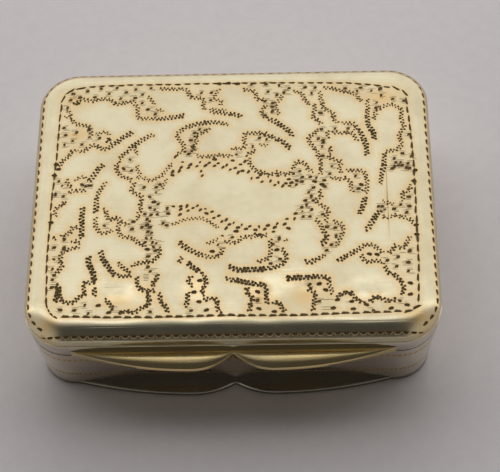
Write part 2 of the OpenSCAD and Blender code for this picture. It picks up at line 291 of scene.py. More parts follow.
# Wall of the base: a strip of sheet silver, gilt inside, bent round and soldered at the back. It leans out
# from the base plate. A row of short dashes runs round it under the lid and a row of fine dots nearer the
# foot, both cut by hand with a graver and dark with old soil.
body_w, body_d, body_r = 32.7, 25.9, 3.25
wall_t, part_z = 0.5, 5.8
wall_levels = np.array([base_t, 1.0, 1.6, 2.6, 3.4, 4.2, 5.4, part_z])
row_start, row_stray, height_stray = 0.4, 0.02, 0.03
dash_z, dash_pitch, dash_lean, dash_shape = 4.84, 0.46, (0.06, 0.08), (0.19, 0.09, 0.09, 0, 0.05)
dot_z, dot_pitch, dot_lean, dot_shape = 2.05, 0.38, (0.1, 0.3), (0.13, 0.11, 0.11, 0, 0.05)
stain_margin, stain_depth, stain_most = 0.30, 0.05, 0.85
lens_share, least_deep, merge_within = 0.75, 0.004, 0.002
wall_colour = (0.71, 0.65, 0.555, 1)
wall_shade = (0.55, 0.49, 0.40, 1)
gilt_colour = (0.83, 0.58, 0.22, 1)
gilt_shade = (0.72, 0.46, 0.15, 1)
soil_colour = (0.035, 0.026, 0.016, 1)
# Warm colour of the stains about the cuts, also used for the painted warm reflections on the lid's front.
stain_and_reflection_colour = (0.70, 0.47, 0.20, 1)


def depth_at(spots, cuts, margin=0.0):
    """How deep each spot lies in the cuts. A cut is a lens with a place, a turn, half its length, its width
    on either side, its drop, which makes it fuller towards its far end, and its depth."""
    depth = np.zeros(len(spots))
    for x, y, turn, half, left, right, drop, deep in cuts:
        reach = half + margin
        near = np.flatnonzero((np.abs(spots[:, 0] - x) < reach) & (np.abs(spots[:, 1] - y) < reach))
        dx, dy = spots[near, 0] - x, spots[near, 1] - y
        along = (dx * math.cos(turn) + dy * math.sin(turn)) / reach
        across = dy * math.cos(turn) - dx * math.sin(turn)
        full = np.maximum((1 - along ** 2) * (1 + drop * along), 1e-6)
        width = np.where(across > 0, left + margin, right + margin) * full
        share = np.clip(1 - np.abs(across) / width, 0, 1) * np.clip(2 - 2 * np.abs(along), 0, 1)
        depth[near] = np.maximum(depth[near], deep * share)
    return depth


def chase(outline, guides, cuts):
    """A flat sheet as triangles that follow every cut. Returns its spots, its faces and the spot of each
    outline point."""
    spots = [*outline, *guides]
    lines = [(i, (i + 1) % len(outline)) for i in range(len(outline))]
    for x, y, turn, half, left, right, drop, _ in cuts:
        start = len(spots)
        along = np.array([math.cos(turn), math.sin(turn)]) * half
        across = np.array([-math.sin(turn), math.cos(turn)]) * lens_share
        thin, thick = across * (1 - drop / 2), across * (1 + drop / 2)
        middle = np.array([x, y])
        spots += [middle - along, middle - along / 2 - thin * right, middle + along / 2 - thick * right,
                  middle + along, middle + along / 2 + thick * left, middle - along / 2 + thin * left,
                  middle - along / 2, middle + along / 2]
        lines += [(start + i, start + (i + 1) % 6) for i in range(6)]
        lines += [(start, start + 6), (start + 6, start + 7), (start + 7, start + 3)]
    made = delaunay_2d_cdt([Vector(s) for s in spots], lines, [], 0, merge_within)
    place = {}
    for index, origins in enumerate(made[3]):
        for origin in origins:
            place[origin] = index
    return np.array([s[:] for s in made[0]]), made[2], [place[i] for i in range(len(outline))]


def add_chased(shell, outline, guides, cuts, lay):
    """Adds a chased sheet laid on a curved surface. Returns the outline's points, and how deeply cut and how
    stained each point is."""
    spots, faces, rim = chase(outline, guides, cuts)
    depth = depth_at(spots, cuts)
    places, normals = lay(spots)
    points = shell.add(places - normals * depth[:, None])
    middles = np.array([spots[list(f)].mean(0) for f in faces])
    in_cut = depth_at(middles, cuts) > least_deep
    for face, flat in zip(faces, in_cut):
        shell.face(points[list(face)], 0, bool(flat))
    deepest = max(c[-1] for c in cuts)
    stain_and_reflection = depth_at(spots, [(*c[:-1], min(c[-1] / stain_depth, 1)) for c in cuts], stain_margin)
    return points[rim], depth / deepest, stain_and_reflection * stain_most


def mark_cuts(piece, cut, stain_and_reflection):
    """Keeps how deeply cut each point is, and how warm it is with stains and painted reflections, for the
    metal's finish.
    """
    for name, values in (("cut", cut), ("stain_and_reflection", stain_and_reflection)):
        layer = piece.data.attributes.new(name, "FLOAT", "POINT")
        full = np.zeros(len(piece.data.vertices))
        full[:len(values)] = values
        layer.data.foreach_set("value", full)


def soil_in_cuts():
    """Group: dark soil that fills the cuts of a chased metal, and a warm colour about them from stains and,
    on the lid's front, from painted reflections.
    """
    soil_from, soil_full, soil_rough = 0.02, 0.35, 0.75
    stain_and_reflection_share = 0.8
    group, given = new_group(
        "soil_in_cuts", {"Metal": "Color", "Polish": "Float", "Soil": "Color", "Stain And Reflection": "Color"},
        {"Surface": "Color", "Dullness": "Float", "Bare Metal": "Float"})
    cut = new_node(group, "ShaderNodeAttribute", attribute_name="cut")
    filled = new_node(group, "ShaderNodeMapRange", interpolation_type="SMOOTHSTEP", inputs={
        "Value": cut.outputs["Fac"], "From Min": soil_from, "From Max": soil_full}).outputs[0]
    stain_and_reflection = new_node(group, "ShaderNodeAttribute", attribute_name="stain_and_reflection")
    near = new_node(group, "ShaderNodeMath", operation="MULTIPLY", inputs={
        0: stain_and_reflection.outputs["Fac"], 1: stain_and_reflection_share})
    warm = new_node(group, "ShaderNodeMix", data_type="RGBA", inputs={
        0: near.outputs[0], 6: given["Metal"], 7: given["Stain And Reflection"]})
    dark = new_node(group, "ShaderNodeMix", data_type="RGBA", inputs={
        0: filled, 6: warm.outputs[2], 7: given["Soil"]})
    dull = new_node(group, "ShaderNodeMix", data_type="FLOAT", inputs={
        0: filled, 2: given["Polish"], 3: soil_rough})
    bare = new_node(group, "ShaderNodeMath", operation="SUBTRACT", inputs={0: 1.0, 1: filled})
    new_node(group, "NodeGroupOutput", inputs={
        "Surface": dark.outputs[2], "Dullness": dull.outputs[0], "Bare Metal": bare.outputs[0]})
    return group


soil_group = soil_in_cuts()


def soiled(finish, soil):
    """The same metal with soil in its cuts."""
    tree = finish.node_tree
    sockets = tree.nodes["Principled BSDF"].inputs
    covered = new_node(tree, "ShaderNodeGroup", node_tree=soil_group, inputs={
        "Metal": sockets["Base Color"].links[0].from_socket,
        "Polish": sockets["Roughness"].links[0].from_socket, "Soil": soil, "Stain And Reflection": stain_and_reflection_colour}).outputs
    tree.links.new(covered["Surface"], sockets["Base Color"])
    tree.links.new(covered["Dullness"], sockets["Roughness"])
    tree.links.new(covered["Bare Metal"], sockets["Metallic"])
    return finish


wall_foot = plan_ring(foot_w, foot_d, foot_r)
wall_brow = plan_ring(body_w, body_d, body_r)
wall_steps = np.linalg.norm(np.diff(np.vstack([wall_brow, wall_brow[:1]]), axis=0), axis=1)
wall_run = np.concatenate([[0], np.cumsum(wall_steps)])
wall_length = wall_run[-1]


def lay_wall(spots):
    """A spot of the unrolled wall, its run round the wall and its height, on the leaning wall."""
    run, height = spots[:, 0], spots[:, 1]
    step = np.clip(np.searchsorted(wall_run, run, side="right") - 1, 0, len(wall_brow) - 1)
    share = ((run - wall_run[step]) / wall_steps[step])[:, None]
    after = (step + 1) % len(wall_brow)
    low = wall_foot[step] * (1 - share) + wall_foot[after] * share
    high = wall_brow[step] * (1 - share) + wall_brow[after] * share
    rise = ((height - base_t) / (part_z - base_t))[:, None]
    along = wall_brow[after] - wall_brow[step]
    along /= np.linalg.norm(along, axis=1, keepdims=True)
    normals = np.column_stack([along[:, 1], -along[:, 0], np.zeros(len(run))])
    return np.column_stack([low * (1 - rise) + high * rise, height]), normals


chased_silver = soiled(worked_metal("chased_silver", wall_colour, wall_shade, roughness=(0.12, 0.22),
                                    wear=0.5, marks="Streaks"), soil_colour)
gilding = worked_metal("gilding", gilt_colour, gilt_shade, roughness=(0.16, 0.30), wear=0.2)
dice = np.random.default_rng(7)
wall_cuts = []
for row_z, pitch, lean, shape in ((dash_z, dash_pitch, dash_lean, dash_shape),
                                  (dot_z, dot_pitch, dot_lean, dot_shape)):
    for i in range(int(wall_length / pitch)):
        wall_cuts.append((row_start + i * pitch + dice.normal(0, row_stray),
                          row_z + dice.normal(0, height_stray), dice.normal(*lean), *shape))
outline = ([(r, base_t) for r in wall_run] + [(wall_length, z) for z in wall_levels[1:-1]]
           + [(r, part_z) for r in wall_run[::-1]] + [(0, z) for z in wall_levels[-2:0:-1]])
guides = [(r, z) for r in wall_run[1:-1] for z in wall_levels[1:-1]]
shell = Shell()
edge, cut, stain_and_reflection = add_chased(shell, outline, guides, wall_cuts, lay_wall)

# The sheet's two ends meet at the back: the points of one end take the place of the other's
steps = len(wall_brow)
levels = len(wall_levels) - 2
low_edge = edge[:steps]
high_edge = edge[steps + 1 + levels:2 * steps + 2 + levels][::-1][:steps]
seam = dict(zip(edge[steps:steps + levels + 2].tolist(),
                [edge[0], *edge[2 * steps + 2 + levels:][::-1], high_edge[0]]))
shell.faces = [[int(seam.get(c, c)) for c in f] for f in shell.faces]
inner_brow = plan_ring(body_w - 2 * wall_t, body_d - 2 * wall_t, body_r - wall_t)
inner_foot = plan_ring(foot_w - 2 * wall_t, foot_d - 2 * wall_t, foot_r - wall_t)
inside_high, inside_low = shell.stack([inner_brow, inner_foot], [part_z, base_t], finish=1)
shell.bridge(high_edge, inside_high)
shell.bridge(inside_low, low_edge)
wall = make_piece(shell, "chased_wall", [chased_silver, gilding], "body", ["body_wall"])
mark_cuts(wall, cut, stain_and_reflection)


# Bezel and ledge: two gilt strips soldered inside the wall. The lid closes over the bezel's rounded upper
# edge, and the grille lies on the ledge.
bezel_in, bezel_t, bezel_round = 0.66355, 0.35, 0.12
bezel_z, bezel_top = 4.05, 6.6
seat_z, seat_w, seat_round = 4.4, 0.9, 0.05
least_r = 0.2


def round_strip(plan_size, thickness, low, high, rounding):
    """A strip of metal bent round a rounded rectangle, with its four long edges eased."""
    width, depth, radius = plan_size

    def ring(inward):
        return plan_ring(width - 2 * inward, depth - 2 * inward, max(radius - inward, least_r))

    ease = rounding * ease_share
    inward = [0, 0, ease, rounding, thickness - rounding, thickness - ease, thickness,
              thickness, thickness - ease, thickness - rounding, rounding, ease]
    heights = [low + rounding, high - rounding, high - ease, high, high, high - ease, high - rounding,
               low + rounding, low + ease, low, low, low + ease]
    shell = Shell()
    first, last = shell.stack([ring(i) for i in inward], heights)
    shell.bridge(last, first)
    return shell


inner_plan = (body_w - 2 * bezel_in, body_d - 2 * bezel_in, body_r - bezel_in)
bezel_plan = tuple(s - i for s, i in zip(inner_plan, (2 * bezel_t, 2 * bezel_t, bezel_t)))
make_piece(round_strip(inner_plan, bezel_t, bezel_z, bezel_top, bezel_round), "bezel_strip", [gilding],
           "body", ["body_bezel"])
make_piece(round_strip(bezel_plan, seat_w, bezel_z, seat_z, seat_round), "grille_ledge", [gilding],
           "body", ["grille_seat"])


# Sponge: a slice of sea sponge cut to fill the well, open with pores of many sizes.
# It holds the scented vinegar and shows through the grille.
sponge_w, sponge_d, sponge_r = 30.1, 23.3, 1.95
sponge_low, sponge_high, sponge_crown, sponge_ease = 0.5, 4.0, 0.5, 0.2
sponge_step, step_stray, edge_margin = 0.14, 0.4, 0.1
pore_counts_and_radii = ((9000, 0.09, 0.19), (1500, 0.17, 0.34), (150, 0.3, 0.55))
pore_depth, pore_shade_depth, top_sink = 1.1, 0.40, 0.08
lump_count, lump_pace, lump_rise = 14, 1.6, 0.02
fibre_depth = 0.06 * mm
sponge_colour = (0.66, 0.44, 0.19, 1)
sponge_dark_and_pore_shade = (0.20, 0.10, 0.032, 1)

dice = np.random.default_rng(11)
sponge_edge = plan_ring(sponge_w, sponge_d, sponge_r)
net_x, net_y = np.meshgrid(np.arange(-sponge_w / 2, sponge_w / 2, sponge_step),
                           np.arange(-sponge_d / 2, sponge_d / 2, sponge_step))
net = np.column_stack([net_x.ravel(), net_y.ravel()])
net += dice.uniform(-step_stray, step_stray, net.shape) * sponge_step


def from_edge(spots):
    """How far each spot lies inside the sponge's outline."""
    past = np.abs(spots) - np.array([sponge_w / 2 - sponge_r, sponge_d / 2 - sponge_r])
    return sponge_r - np.linalg.norm(np.maximum(past, 0), axis=1) - np.minimum(past.max(1), 0)


spots, faces, rim = chase(sponge_edge, net[from_edge(net) > edge_margin], [])
shoulder = np.maximum(sponge_crown - from_edge(spots), 0)
pores = np.zeros(len(spots))
order = np.argsort(spots[:, 0])
sorted_x = spots[order, 0]
for count, small, large in pore_counts_and_radii:
    seeds = np.column_stack([dice.uniform(-0.5, 0.5, count) * side for side in (sponge_w, sponge_d)])
    for seed, size in zip(seeds, dice.uniform(small, large, count)):
        near = order[slice(*np.searchsorted(sorted_x, (seed[0] - size, seed[0] + size)))]
        far = np.linalg.norm(spots[near] - seed, axis=1) / size
        pores[near] = np.maximum(pores[near], pore_depth * size * np.sqrt(np.clip(1 - far ** 2, 0, 1)))
lumps = np.zeros(len(spots))
for wave in dice.normal(0, lump_pace, (lump_count, 2)):
    lumps += np.sin(spots @ wave + dice.uniform(0, 2 * math.pi)) * lump_rise
pores[rim] = 0
lumps[rim] = 0
heights = sponge_high - sponge_crown + np.sqrt(np.maximum(sponge_crown ** 2 - shoulder ** 2, 0))
heights = np.minimum(heights - pores - top_sink + lumps, sponge_high)
heights[rim] = sponge_high - sponge_crown
shell = Shell()
points = shell.add(np.column_stack([spots, heights]))
for face in faces:
    shell.face(points[list(face)])
foot, side = shell.stack([drawn_in(sponge_edge, sponge_ease), sponge_edge],
                         [sponge_low, sponge_low + sponge_ease])
shell.bridge(side, points[rim])
shell.face(foot[::-1])

sponge_finish = bpy.data.materials.new("sea_sponge")
sponge_finish.use_nodes = True
tree = sponge_finish.node_tree
shader = tree.nodes["Principled BSDF"]
shader.inputs["Roughness"].default_value = 0.95
shader.inputs["Specular IOR Level"].default_value = 0.15
# The sponge's colour darkens with the depth of each pore, a painted shade, and with the fibres' specks.
pore = new_node(tree, "ShaderNodeAttribute", attribute_name="pore")
fibre = new_node(tree, "ShaderNodeTexNoise", inputs={
    "Vector": new_node(tree, "ShaderNodeTexCoord").outputs["Object"], "Scale": 5200.0, "Detail": 4.0})
deep = new_node(tree, "ShaderNodeMapRange", inputs={"Value": pore.outputs["Fac"], "From Max": pore_shade_depth})
specks_and_pore_shade = new_node(tree, "ShaderNodeMath", operation="MULTIPLY_ADD", inputs={
    0: fibre.outputs[0], 1: 0.5, 2: deep.outputs[0]})
faded = new_node(tree, "ShaderNodeMapRange", inputs={
    "Value": specks_and_pore_shade.outputs[0], "From Min": 0.2, "From Max": 1.1})
tint = new_node(tree, "ShaderNodeMix", data_type="RGBA", inputs={
    0: faded.outputs[0], 6: sponge_colour, 7: sponge_dark_and_pore_shade})
tree.links.new(tint.outputs[2], shader.inputs["Base Color"])
fuzz = new_node(tree, "ShaderNodeBump", inputs={
    "Strength": 0.7, "Distance": fibre_depth, "Height": fibre.outputs[0]})
tree.links.new(fuzz.outputs[0], shader.inputs["Normal"])
sponge = make_piece(shell, "sponge_slice", [sponge_finish], "body", ["sponge"], crease=180)
layer = sponge.data.attributes.new("pore", "FLOAT", "POINT")
layer.data.foreach_set("value", np.concatenate([pores, np.zeros(len(sponge.data.vertices) - len(pores))]))


# Lid hinge: five knuckles drawn from silver tube, three soldered to the base and two to the lid, on a silver
# pin. The knuckles are filed flush with one another and the pin's ends are burnished over.
lid_hinge_ease = 0.07
silver_colour = (0.73, 0.66, 0.46, 1)
silver_shade = (0.58, 0.49, 0.31, 1)


def finish_part(name, finish, easing):
    """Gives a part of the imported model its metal, and files its sharp edges a little round."""
    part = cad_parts[name]
    part.data.materials.clear()
    part.data.materials.append(finish)
    eased = part.modifiers.new("eased_edges", "BEVEL")
    eased.width = easing * mm
    eased.segments = 2
    eased.limit_method = "ANGLE"
    eased.angle_limit = math.radians(smooth_below)


knuckle_silver = worked_metal("knuckle_silver", silver_colour, silver_shade, roughness=(0.16, 0.28), wear=0.4)
for name in ("body_knuckle_left", "body_knuckle_middle", "body_knuckle_right", "lid_knuckle_left",
             "lid_knuckle_right", "lid_hinge_pin"):
    finish_part(name, knuckle_silver, lid_hinge_ease)


# Grille hinge: two gilt knuckles on leaves that are soldered inside the bezel behind the grille, and one on
# the grille itself, turning on a thin gilt pin.
grille_hinge_ease = 0.04
for name in ("grille_bracket_left", "grille_bracket_right", "grille_knuckle", "grille_hinge_pin"):
    finish_part(name, gilding, grille_hinge_ease)


# Grille: a gilt plate pierced with the saw and drill in a flower, sprays of leaves and florets.
# A frame is soldered on it round its edge, with a half-round tab in front to lift it by.
grille_ease = 0.03
for name in ("grille_plate", "grille_frame", "grille_tab"):
    finish_part(name, gilding, grille_ease)


# Skirt of the lid: a narrow strip of sheet silver soldered under the rim, polished outside and gilt inside.
# It closes over the bezel and meets the wall of the base at the parting line.
lid_z, rim_z, skirt_t, skirt_round = 5.85, 7.7, 0.60355, 0.06
skirt_plan = (body_w, body_d, body_r)
inside_bands = (5, 6, 7)
streaked_silver = worked_metal("streaked_silver", wall_colour, wall_shade, roughness=(0.10, 0.20),
                               wear=0.5, marks="Streaks")
shell = round_strip(skirt_plan, skirt_t, lid_z, rim_z, skirt_round)
ring_count = len(plan_ring(*skirt_plan))
shell.finish = [1 if i // ring_count in inside_bands else 0 for i in range(len(shell.faces))]
make_piece(shell, "lid_skirt_strip", [streaked_silver, gilding], "lid", ["lid_skirt"])


# Thumb lip: two lobes of thicker silver soldered to the lower edge of the skirt, crowned above and filed thin
# outward. A fingernail under it lifts the lid. Its silver is painted warmer than the rest, a painted
# reflection of the lid's bright warm edge.
lip_reach, lip_root_t, lip_edge_t, lip_tip = 1.6, 0.65, 0.35, 0.02
lip_warm_reflection_colour = (0.80, 0.62, 0.30, 1)
lip_shares = np.array([0, 0.12, 0.28, 0.46, 0.64, 0.8, 0.92, 0.98])
slope_share, crown_share = 0.35, 0.65
under_share, edge_low_ease, edge_high_ease, least_edge = 0.96, 0.06, 0.08, 0.02
notch_step, notch_stops, lip_stops = 0.02, 90, 121

xs = np.concatenate([-np.geomspace(lip_end, notch_step, notch_stops), [0],
                     np.geomspace(notch_step, lip_end, notch_stops)])
xs = np.unique(np.concatenate([xs, np.linspace(-lip_end, lip_end, lip_stops)]))
sections = []
shell = Shell()
for x, reach in zip(xs, np.maximum(lip_reach_at(xs, lip_reach), lip_tip)):
    out = lip_shares * reach
    fall = (slope_share * lip_shares + crown_share * lip_shares ** 4) * reach / lip_reach
    top = lid_z + lip_root_t - (lip_root_t - lip_edge_t) * fall
    edge_low = lid_z + edge_low_ease
    edge_high = max(top[-1] - edge_high_ease, edge_low + least_edge)
    profile = [(0, lid_z), (reach * under_share, lid_z), (reach, edge_low), (reach, edge_high)]
    profile += [(o, z) for o, z in zip(out[::-1], top[::-1])]
    sections.append(shell.add([(x, -body_d / 2 - o, z) for o, z in profile]))
for before, after in zip(sections, sections[1:]):
    shell.bridge(after, before)
shell.face(sections[0])
shell.face(sections[-1][::-1])
lip_silver_warm_reflection = worked_metal("lip_silver_warm_reflection", lip_warm_reflection_colour, silver_shade, roughness=(0.10, 0.20), wear=0.5,
                          marks="Streaks")
make_piece(shell, "thumb_lip_crowned", [lip_silver_warm_reflection], "lid", ["thumb_lip"])


# Top of the lid: a silver plate with its edge rolled over, gilt inside, engraved with leaves in wriggle work,
# dots and a border. The graver is rocked from side to side as it is pushed, so each line is a zigzag of
# small drop-shaped cuts. Use has left the plate slightly domed, dented at the front and stained in patches at
# its corners; the warm patches at its front are painted reflections.
lid_w, lid_d, lid_r, case_h, ceiling_z = 33.0, 26.2, 3.4, 8.9, 8.45
lid_soil = (0.13, 0.078, 0.018, 1)

# How hard the graver is pressed at the start, in the middle and at the end of a line
fine, even, heavy = (0.05, 0.15, 0.05), (0.3, 0.4, 0.3), (0.7, 0.9, 0.7)
swelling, fading, full_middle = (0.15, 0.5, 0.9), (0.9, 0.5, 0.15), (0.2, 0.85, 0.3)

back_left_leaves = [
    (heavy, [(-13.5, 9.35), (-13.3, 9.6), (-12.9, 9.7)]),
    (even, [(-12.8, 9.95), (-12.3, 9.85), (-11.9, 9.75), (-11.2, 9.95), (-10.6, 9.95), (-10.2, 9.75),
            (-9.95, 9.3), (-9.7, 9.35), (-9.2, 9.5), (-8.9, 9.6), (-8.4, 9.6)]),
    (even, [(-8.4, 9.6), (-8.3, 9.3), (-8.1, 9.1), (-8.05, 8.6), (-8.0, 8.0), (-7.9, 7.85)]),
    (swelling, [(-7.9, 7.85), (-7.4, 7.8), (-6.8, 7.75), (-6.3, 7.7), (-5.7, 7.8), (-5.2, 7.85),
                (-4.7, 7.9), (-4.1, 8.05)]),
    (fine, [(-7.3, 10.2), (-6.9, 9.7), (-6.7, 9.3)]),
    (fine, [(-6.6, 8.7), (-6.2, 8.7), (-5.9, 8.5)]),
    (even, [(-13.8, 7.95), (-13.5, 7.75), (-13.3, 7.45), (-13.0, 7.35), (-12.6, 7.25), (-12.2, 7.2),
            (-12.0, 7.0), (-11.9, 6.6), (-11.9, 6.2)]),
    (fine, [(-14.2, 8.9), (-13.9, 8.7), (-13.7, 8.5), (-13.6, 8.2), (-14.2, 8.1)]),
    (fine, [(-11.6, 6.3), (-11.2, 6.3), (-10.9, 6.45), (-10.6, 6.45), (-10.3, 6.2)]),
    (heavy, [(-10.5, 5.9), (-10.4, 5.6), (-10.1, 5.45)]),
    (swelling, [(-13.6, 4.6), (-13.0, 4.65), (-12.6, 4.5), (-12.2, 4.7), (-11.9, 5.1), (-11.6, 5.2),
                (-11.2, 5.0), (-11.0, 4.8), (-10.7, 4.7), (-10.3, 4.85), (-10, 5.1), (-9.5, 5.6),
                (-9.0, 6.0), (-8.4, 6.4)]),
    (even, [(-14.3, 3.0), (-14.2, 3.4), (-14.0, 3.8), (-13.6, 4.0), (-13.4, 4.6)]),
    (full_middle, [(-6.5, 6.1), (-6.9, 6.0), (-7.3, 5.75), (-7.7, 5.45), (-8.1, 5.15), (-8.4, 4.9),
                   (-8.7, 4.5), (-9.1, 4.1), (-9.4, 3.7)]),
    (fine, [(-8.2, 4.9), (-8.0, 4.5), (-8.0, 4.1)]),
]
back_left_dots = [
    (-12.4, 10.8), (-10.55, 10.5), (-9.1, 10.6), (-8.3, 10.9), (-7.7, 10.35), (-7.0, 11.0), (-7.7, 9.45),
    (-13.6, 10.55), (-11.25, 11.05), (-9.9, 11.1), (-13.0, 10.15), (-13.8, 9.9), (-11.75, 10.15),
    (-9.55, 9.95), (-8.3, 10.0), (-7.2, 8.75), (-6.55, 8.25), (-14.2, 7.0), (-13.1, 6.5), (-14.0, 6.25),
    (-12.1, 6.75), (-12.0, 6.0), (-11.15, 5.85), (-13.4, 5.65), (-14.05, 5.25), (-12.6, 5.25),
    (-14.0, 9.1)]

back_leaves = [
    (even, [(-6.3, 10.95), (-5.6, 10.9), (-5.0, 10.85), (-4.5, 10.9), (-4.1, 10.85), (-3.85, 10.65),
            (-3.75, 10.3), (-3.65, 9.95), (-3.3, 9.9), (-2.7, 9.85), (-2.4, 9.6), (-2.5, 9.2),
            (-2.55, 8.85), (-2.4, 8.6)]),
    (swelling, [(-2.1, 8.6), (-1.7, 8.3), (-1.3, 8.3), (-0.9, 8.2), (-0.5, 8.1), (-0.1, 8.15),
                (0.3, 8.05), (0.65, 7.8)]),
    (fine, [(-1.9, 8.7), (-1.3, 8.5), (-0.9, 8.6), (-0.6, 8.5)]),
    (fine, [(-1.2, 10.9), (-1.3, 10.5), (-1.5, 10.1), (-1.7, 9.9)]),
    (fine, [(-1.7, 9.75), (-1.3, 9.6), (-1.05, 9.55), (-0.9, 9.3), (-1.1, 9.05)]),
    (even, [(0.75, 10.8), (1.05, 10.6), (1.4, 10.6), (1.8, 10.5), (1.95, 10.25), (1.9, 9.8), (2.1, 9.55),
            (2.45, 9.7), (2.7, 9.4)]),
    (even, [(2.9, 9.05), (2.65, 8.85), (2.5, 8.5), (2.35, 8.25), (2.45, 7.9), (2.75, 7.6)]),
    (heavy, [(2.8, 7.6), (3.15, 7.45), (3.5, 7.25), (3.85, 6.95), (4.2, 6.7), (4.5, 6.4), (4.8, 6.15),
             (4.9, 5.7)]),
    (fine, [(4.2, 10.3), (4.1, 9.7), (3.8, 9.35), (3.6, 8.9), (3.6, 8.6), (3.85, 8.3), (3.9, 8.0)]),
    (full_middle, [(-0.3, 7.0), (-0.7, 7.15), (-1.2, 7.2), (-1.6, 7.3), (-2.1, 7.2), (-2.6, 7.2),
                   (-3.2, 7.05), (-3.6, 6.95), (-3.95, 6.8), (-4.3, 6.5), (-4.7, 6.15)]),
    (even, [(-4.7, 6.15), (-4.7, 5.9), (-4.5, 5.55), (-4.3, 5.3), (-4.1, 5.05), (-4.05, 4.6), (-4.1, 4.3),
            (-4.4, 4.2), (-4.65, 4.05)]),
    (even, [(-2.0, 6.75), (-2.15, 6.4), (-2.45, 6.3), (-2.9, 6.0), (-3.1, 5.8), (-3.0, 5.4), (-3.15, 5.1),
            (-3.25, 4.8), (-3.3, 4.4), (-3.1, 4.3)]),
    (even, [(-3.1, 3.9), (-2.7, 3.7), (-2.1, 3.8), (-1.6, 3.75), (-1.2, 3.95), (-0.7, 3.8), (-0.4, 3.75),
            (-0.1, 3.9)]),
    (swelling, [(-0.15, 4.35), (0.1, 4.6), (0.4, 4.5), (0.75, 4.5), (0.95, 4.6), (1.0, 5.0), (0.9, 5.3),
                (0.95, 5.7), (1.05, 6.05), (1.45, 6.1), (1.8, 6.05), (2.1, 6.15), (2.4, 5.95),
                (2.65, 6.05), (2.95, 5.75), (3.25, 5.7), (3.5, 5.5), (3.8, 5.4), (4.0, 5.15), (4.3, 5.1),
                (4.5, 4.8), (4.75, 4.5)]),
    (even, [(1.2, 3.9), (1.6, 4.15), (1.85, 4.2)]),
    (fine, [(2.1, 4.9), (2.5, 4.85), (2.9, 4.8)]),
]
back_dots = [
    (-2.7, 10.4), (-1.85, 10.4), (-1.9, 9.6), (2.95, 10.4), (3.7, 10.05), (3.35, 9.2), (3.3, 8.8),
    (3.3, 8.3), (2.7, 9.4), (2.7, 7.9), (4.75, 10.75), (4.3, 10.3), (1.55, 11.2), (2.8, 11.2),
    (3.9, 11.05), (-3.2, 6.2), (-2.8, 6.55), (-3.5, 5.45), (-3.35, 4.8), (-3.4, 4.35), (-3.65, 4.05),
    (-3.95, 4.3), (2.2, 5.55), (2.8, 5.4), (1.65, 4.7), (0.3, 3.9)]

back_right_leaves = [
    (even, [(5.0, 10.35), (5.3, 10.35), (5.6, 10.3), (5.9, 10.0), (5.95, 9.65), (6.1, 9.4), (6.3, 9.15),
            (6.4, 8.9)]),
    (even, [(6.85, 9.1), (6.85, 8.7), (6.85, 8.3), (6.75, 7.9), (6.75, 7.45), (7.2, 7.3), (7.2, 7.05),
            (7.45, 6.9)]),
    (even, [(7.25, 10.4), (7.4, 10.1), (7.35, 9.7), (7.5, 9.2), (7.5, 8.8), (7.7, 8.5), (8.0, 8.3),
            (8.4, 8.1), (8.45, 7.7), (8.35, 7.4), (8.8, 7.0)]),
    (even, [(7.6, 10.7), (7.95, 10.7), (8.4, 10.65), (8.8, 10.5), (9.2, 10.3), (9.5, 10.2), (9.8, 10.25),
            (10.1, 10.15), (10.4, 9.9), (10.55, 9.6), (10.65, 9.3), (10.9, 9.3)]),
    (swelling, [(11.35, 9.55), (11.3, 9.0), (11.35, 8.7), (11.35, 8.3), (11.2, 7.9), (11.3, 7.5),
                (11.2, 7.2), (11.3, 6.8), (11.45, 6.4), (11.6, 6.1)]),
    (heavy, [(11.6, 6.3), (11.7, 5.9), (11.7, 5.6), (11.75, 5.3)]),
    (even, [(11.95, 8.3), (11.95, 7.9), (11.8, 7.6), (11.8, 7.3)]),
    (even, [(11.9, 8.3), (12.0, 8.5), (12.4, 8.45), (12.7, 8.7), (13.1, 8.85), (13.4, 8.85), (13.6, 8.65),
            (13.9, 8.55), (14.2, 8.3), (14.1, 7.9), (14.1, 7.4), (14.15, 7.0), (14.3, 6.6), (14.2, 6.3),
            (14.0, 6.0), (13.8, 5.7), (13.85, 5.3), (14.0, 5.0), (14.0, 4.7), (13.7, 4.3), (13.3, 4.1),
            (12.9, 4.1), (12.6, 4.0)]),
    (even, [(9.0, 6.95), (9.4, 6.95), (10.0, 6.95), (10.3, 6.6), (10.2, 6.2)]),
    (even, [(8.2, 6.0), (8.6, 6.05), (9.0, 5.95), (9.3, 5.95), (9.7, 6.05), (9.9, 5.95), (10.1, 5.7),
            (10.2, 5.4), (10.3, 5.15)]),
    (heavy, [(10.4, 6.3), (10.65, 6.05), (10.7, 5.7), (10.85, 5.4), (10.9, 5.1), (11.0, 4.8), (11.1, 4.4),
             (11.05, 4.0), (11.1, 3.7)]),
    (even, [(7.3, 6.6), (7.1, 6.3), (6.9, 6.05), (6.7, 5.85), (6.4, 5.7), (6.25, 5.4), (6.35, 5.1),
            (6.55, 4.8), (6.75, 4.5), (6.8, 4.2), (7.1, 4.05)]),
    (even, [(7.9, 6.3), (7.85, 5.9), (7.9, 5.5)]),
    (even, [(7.95, 4.5), (8.15, 4.4), (8.1, 4.1), (7.95, 3.95)]),
]
back_right_dots = [
    (6.1, 10.8), (6.95, 10.75), (6.65, 10.15), (9.5, 10.6), (10.5, 10.3), (10.8, 10.65), (11.7, 10.3),
    (12.45, 10.5), (12.5, 9.8), (13.45, 9.4), (14.4, 9.2), (12.1, 9.05), (7.35, 8.05), (8.5, 6.4),
    (9.6, 6.4), (7.4, 6.35), (7.1, 5.4), (7.5, 5.25), (7.5, 5.0), (7.4, 4.6), (14.6, 5.7), (12.0, 8.5)]

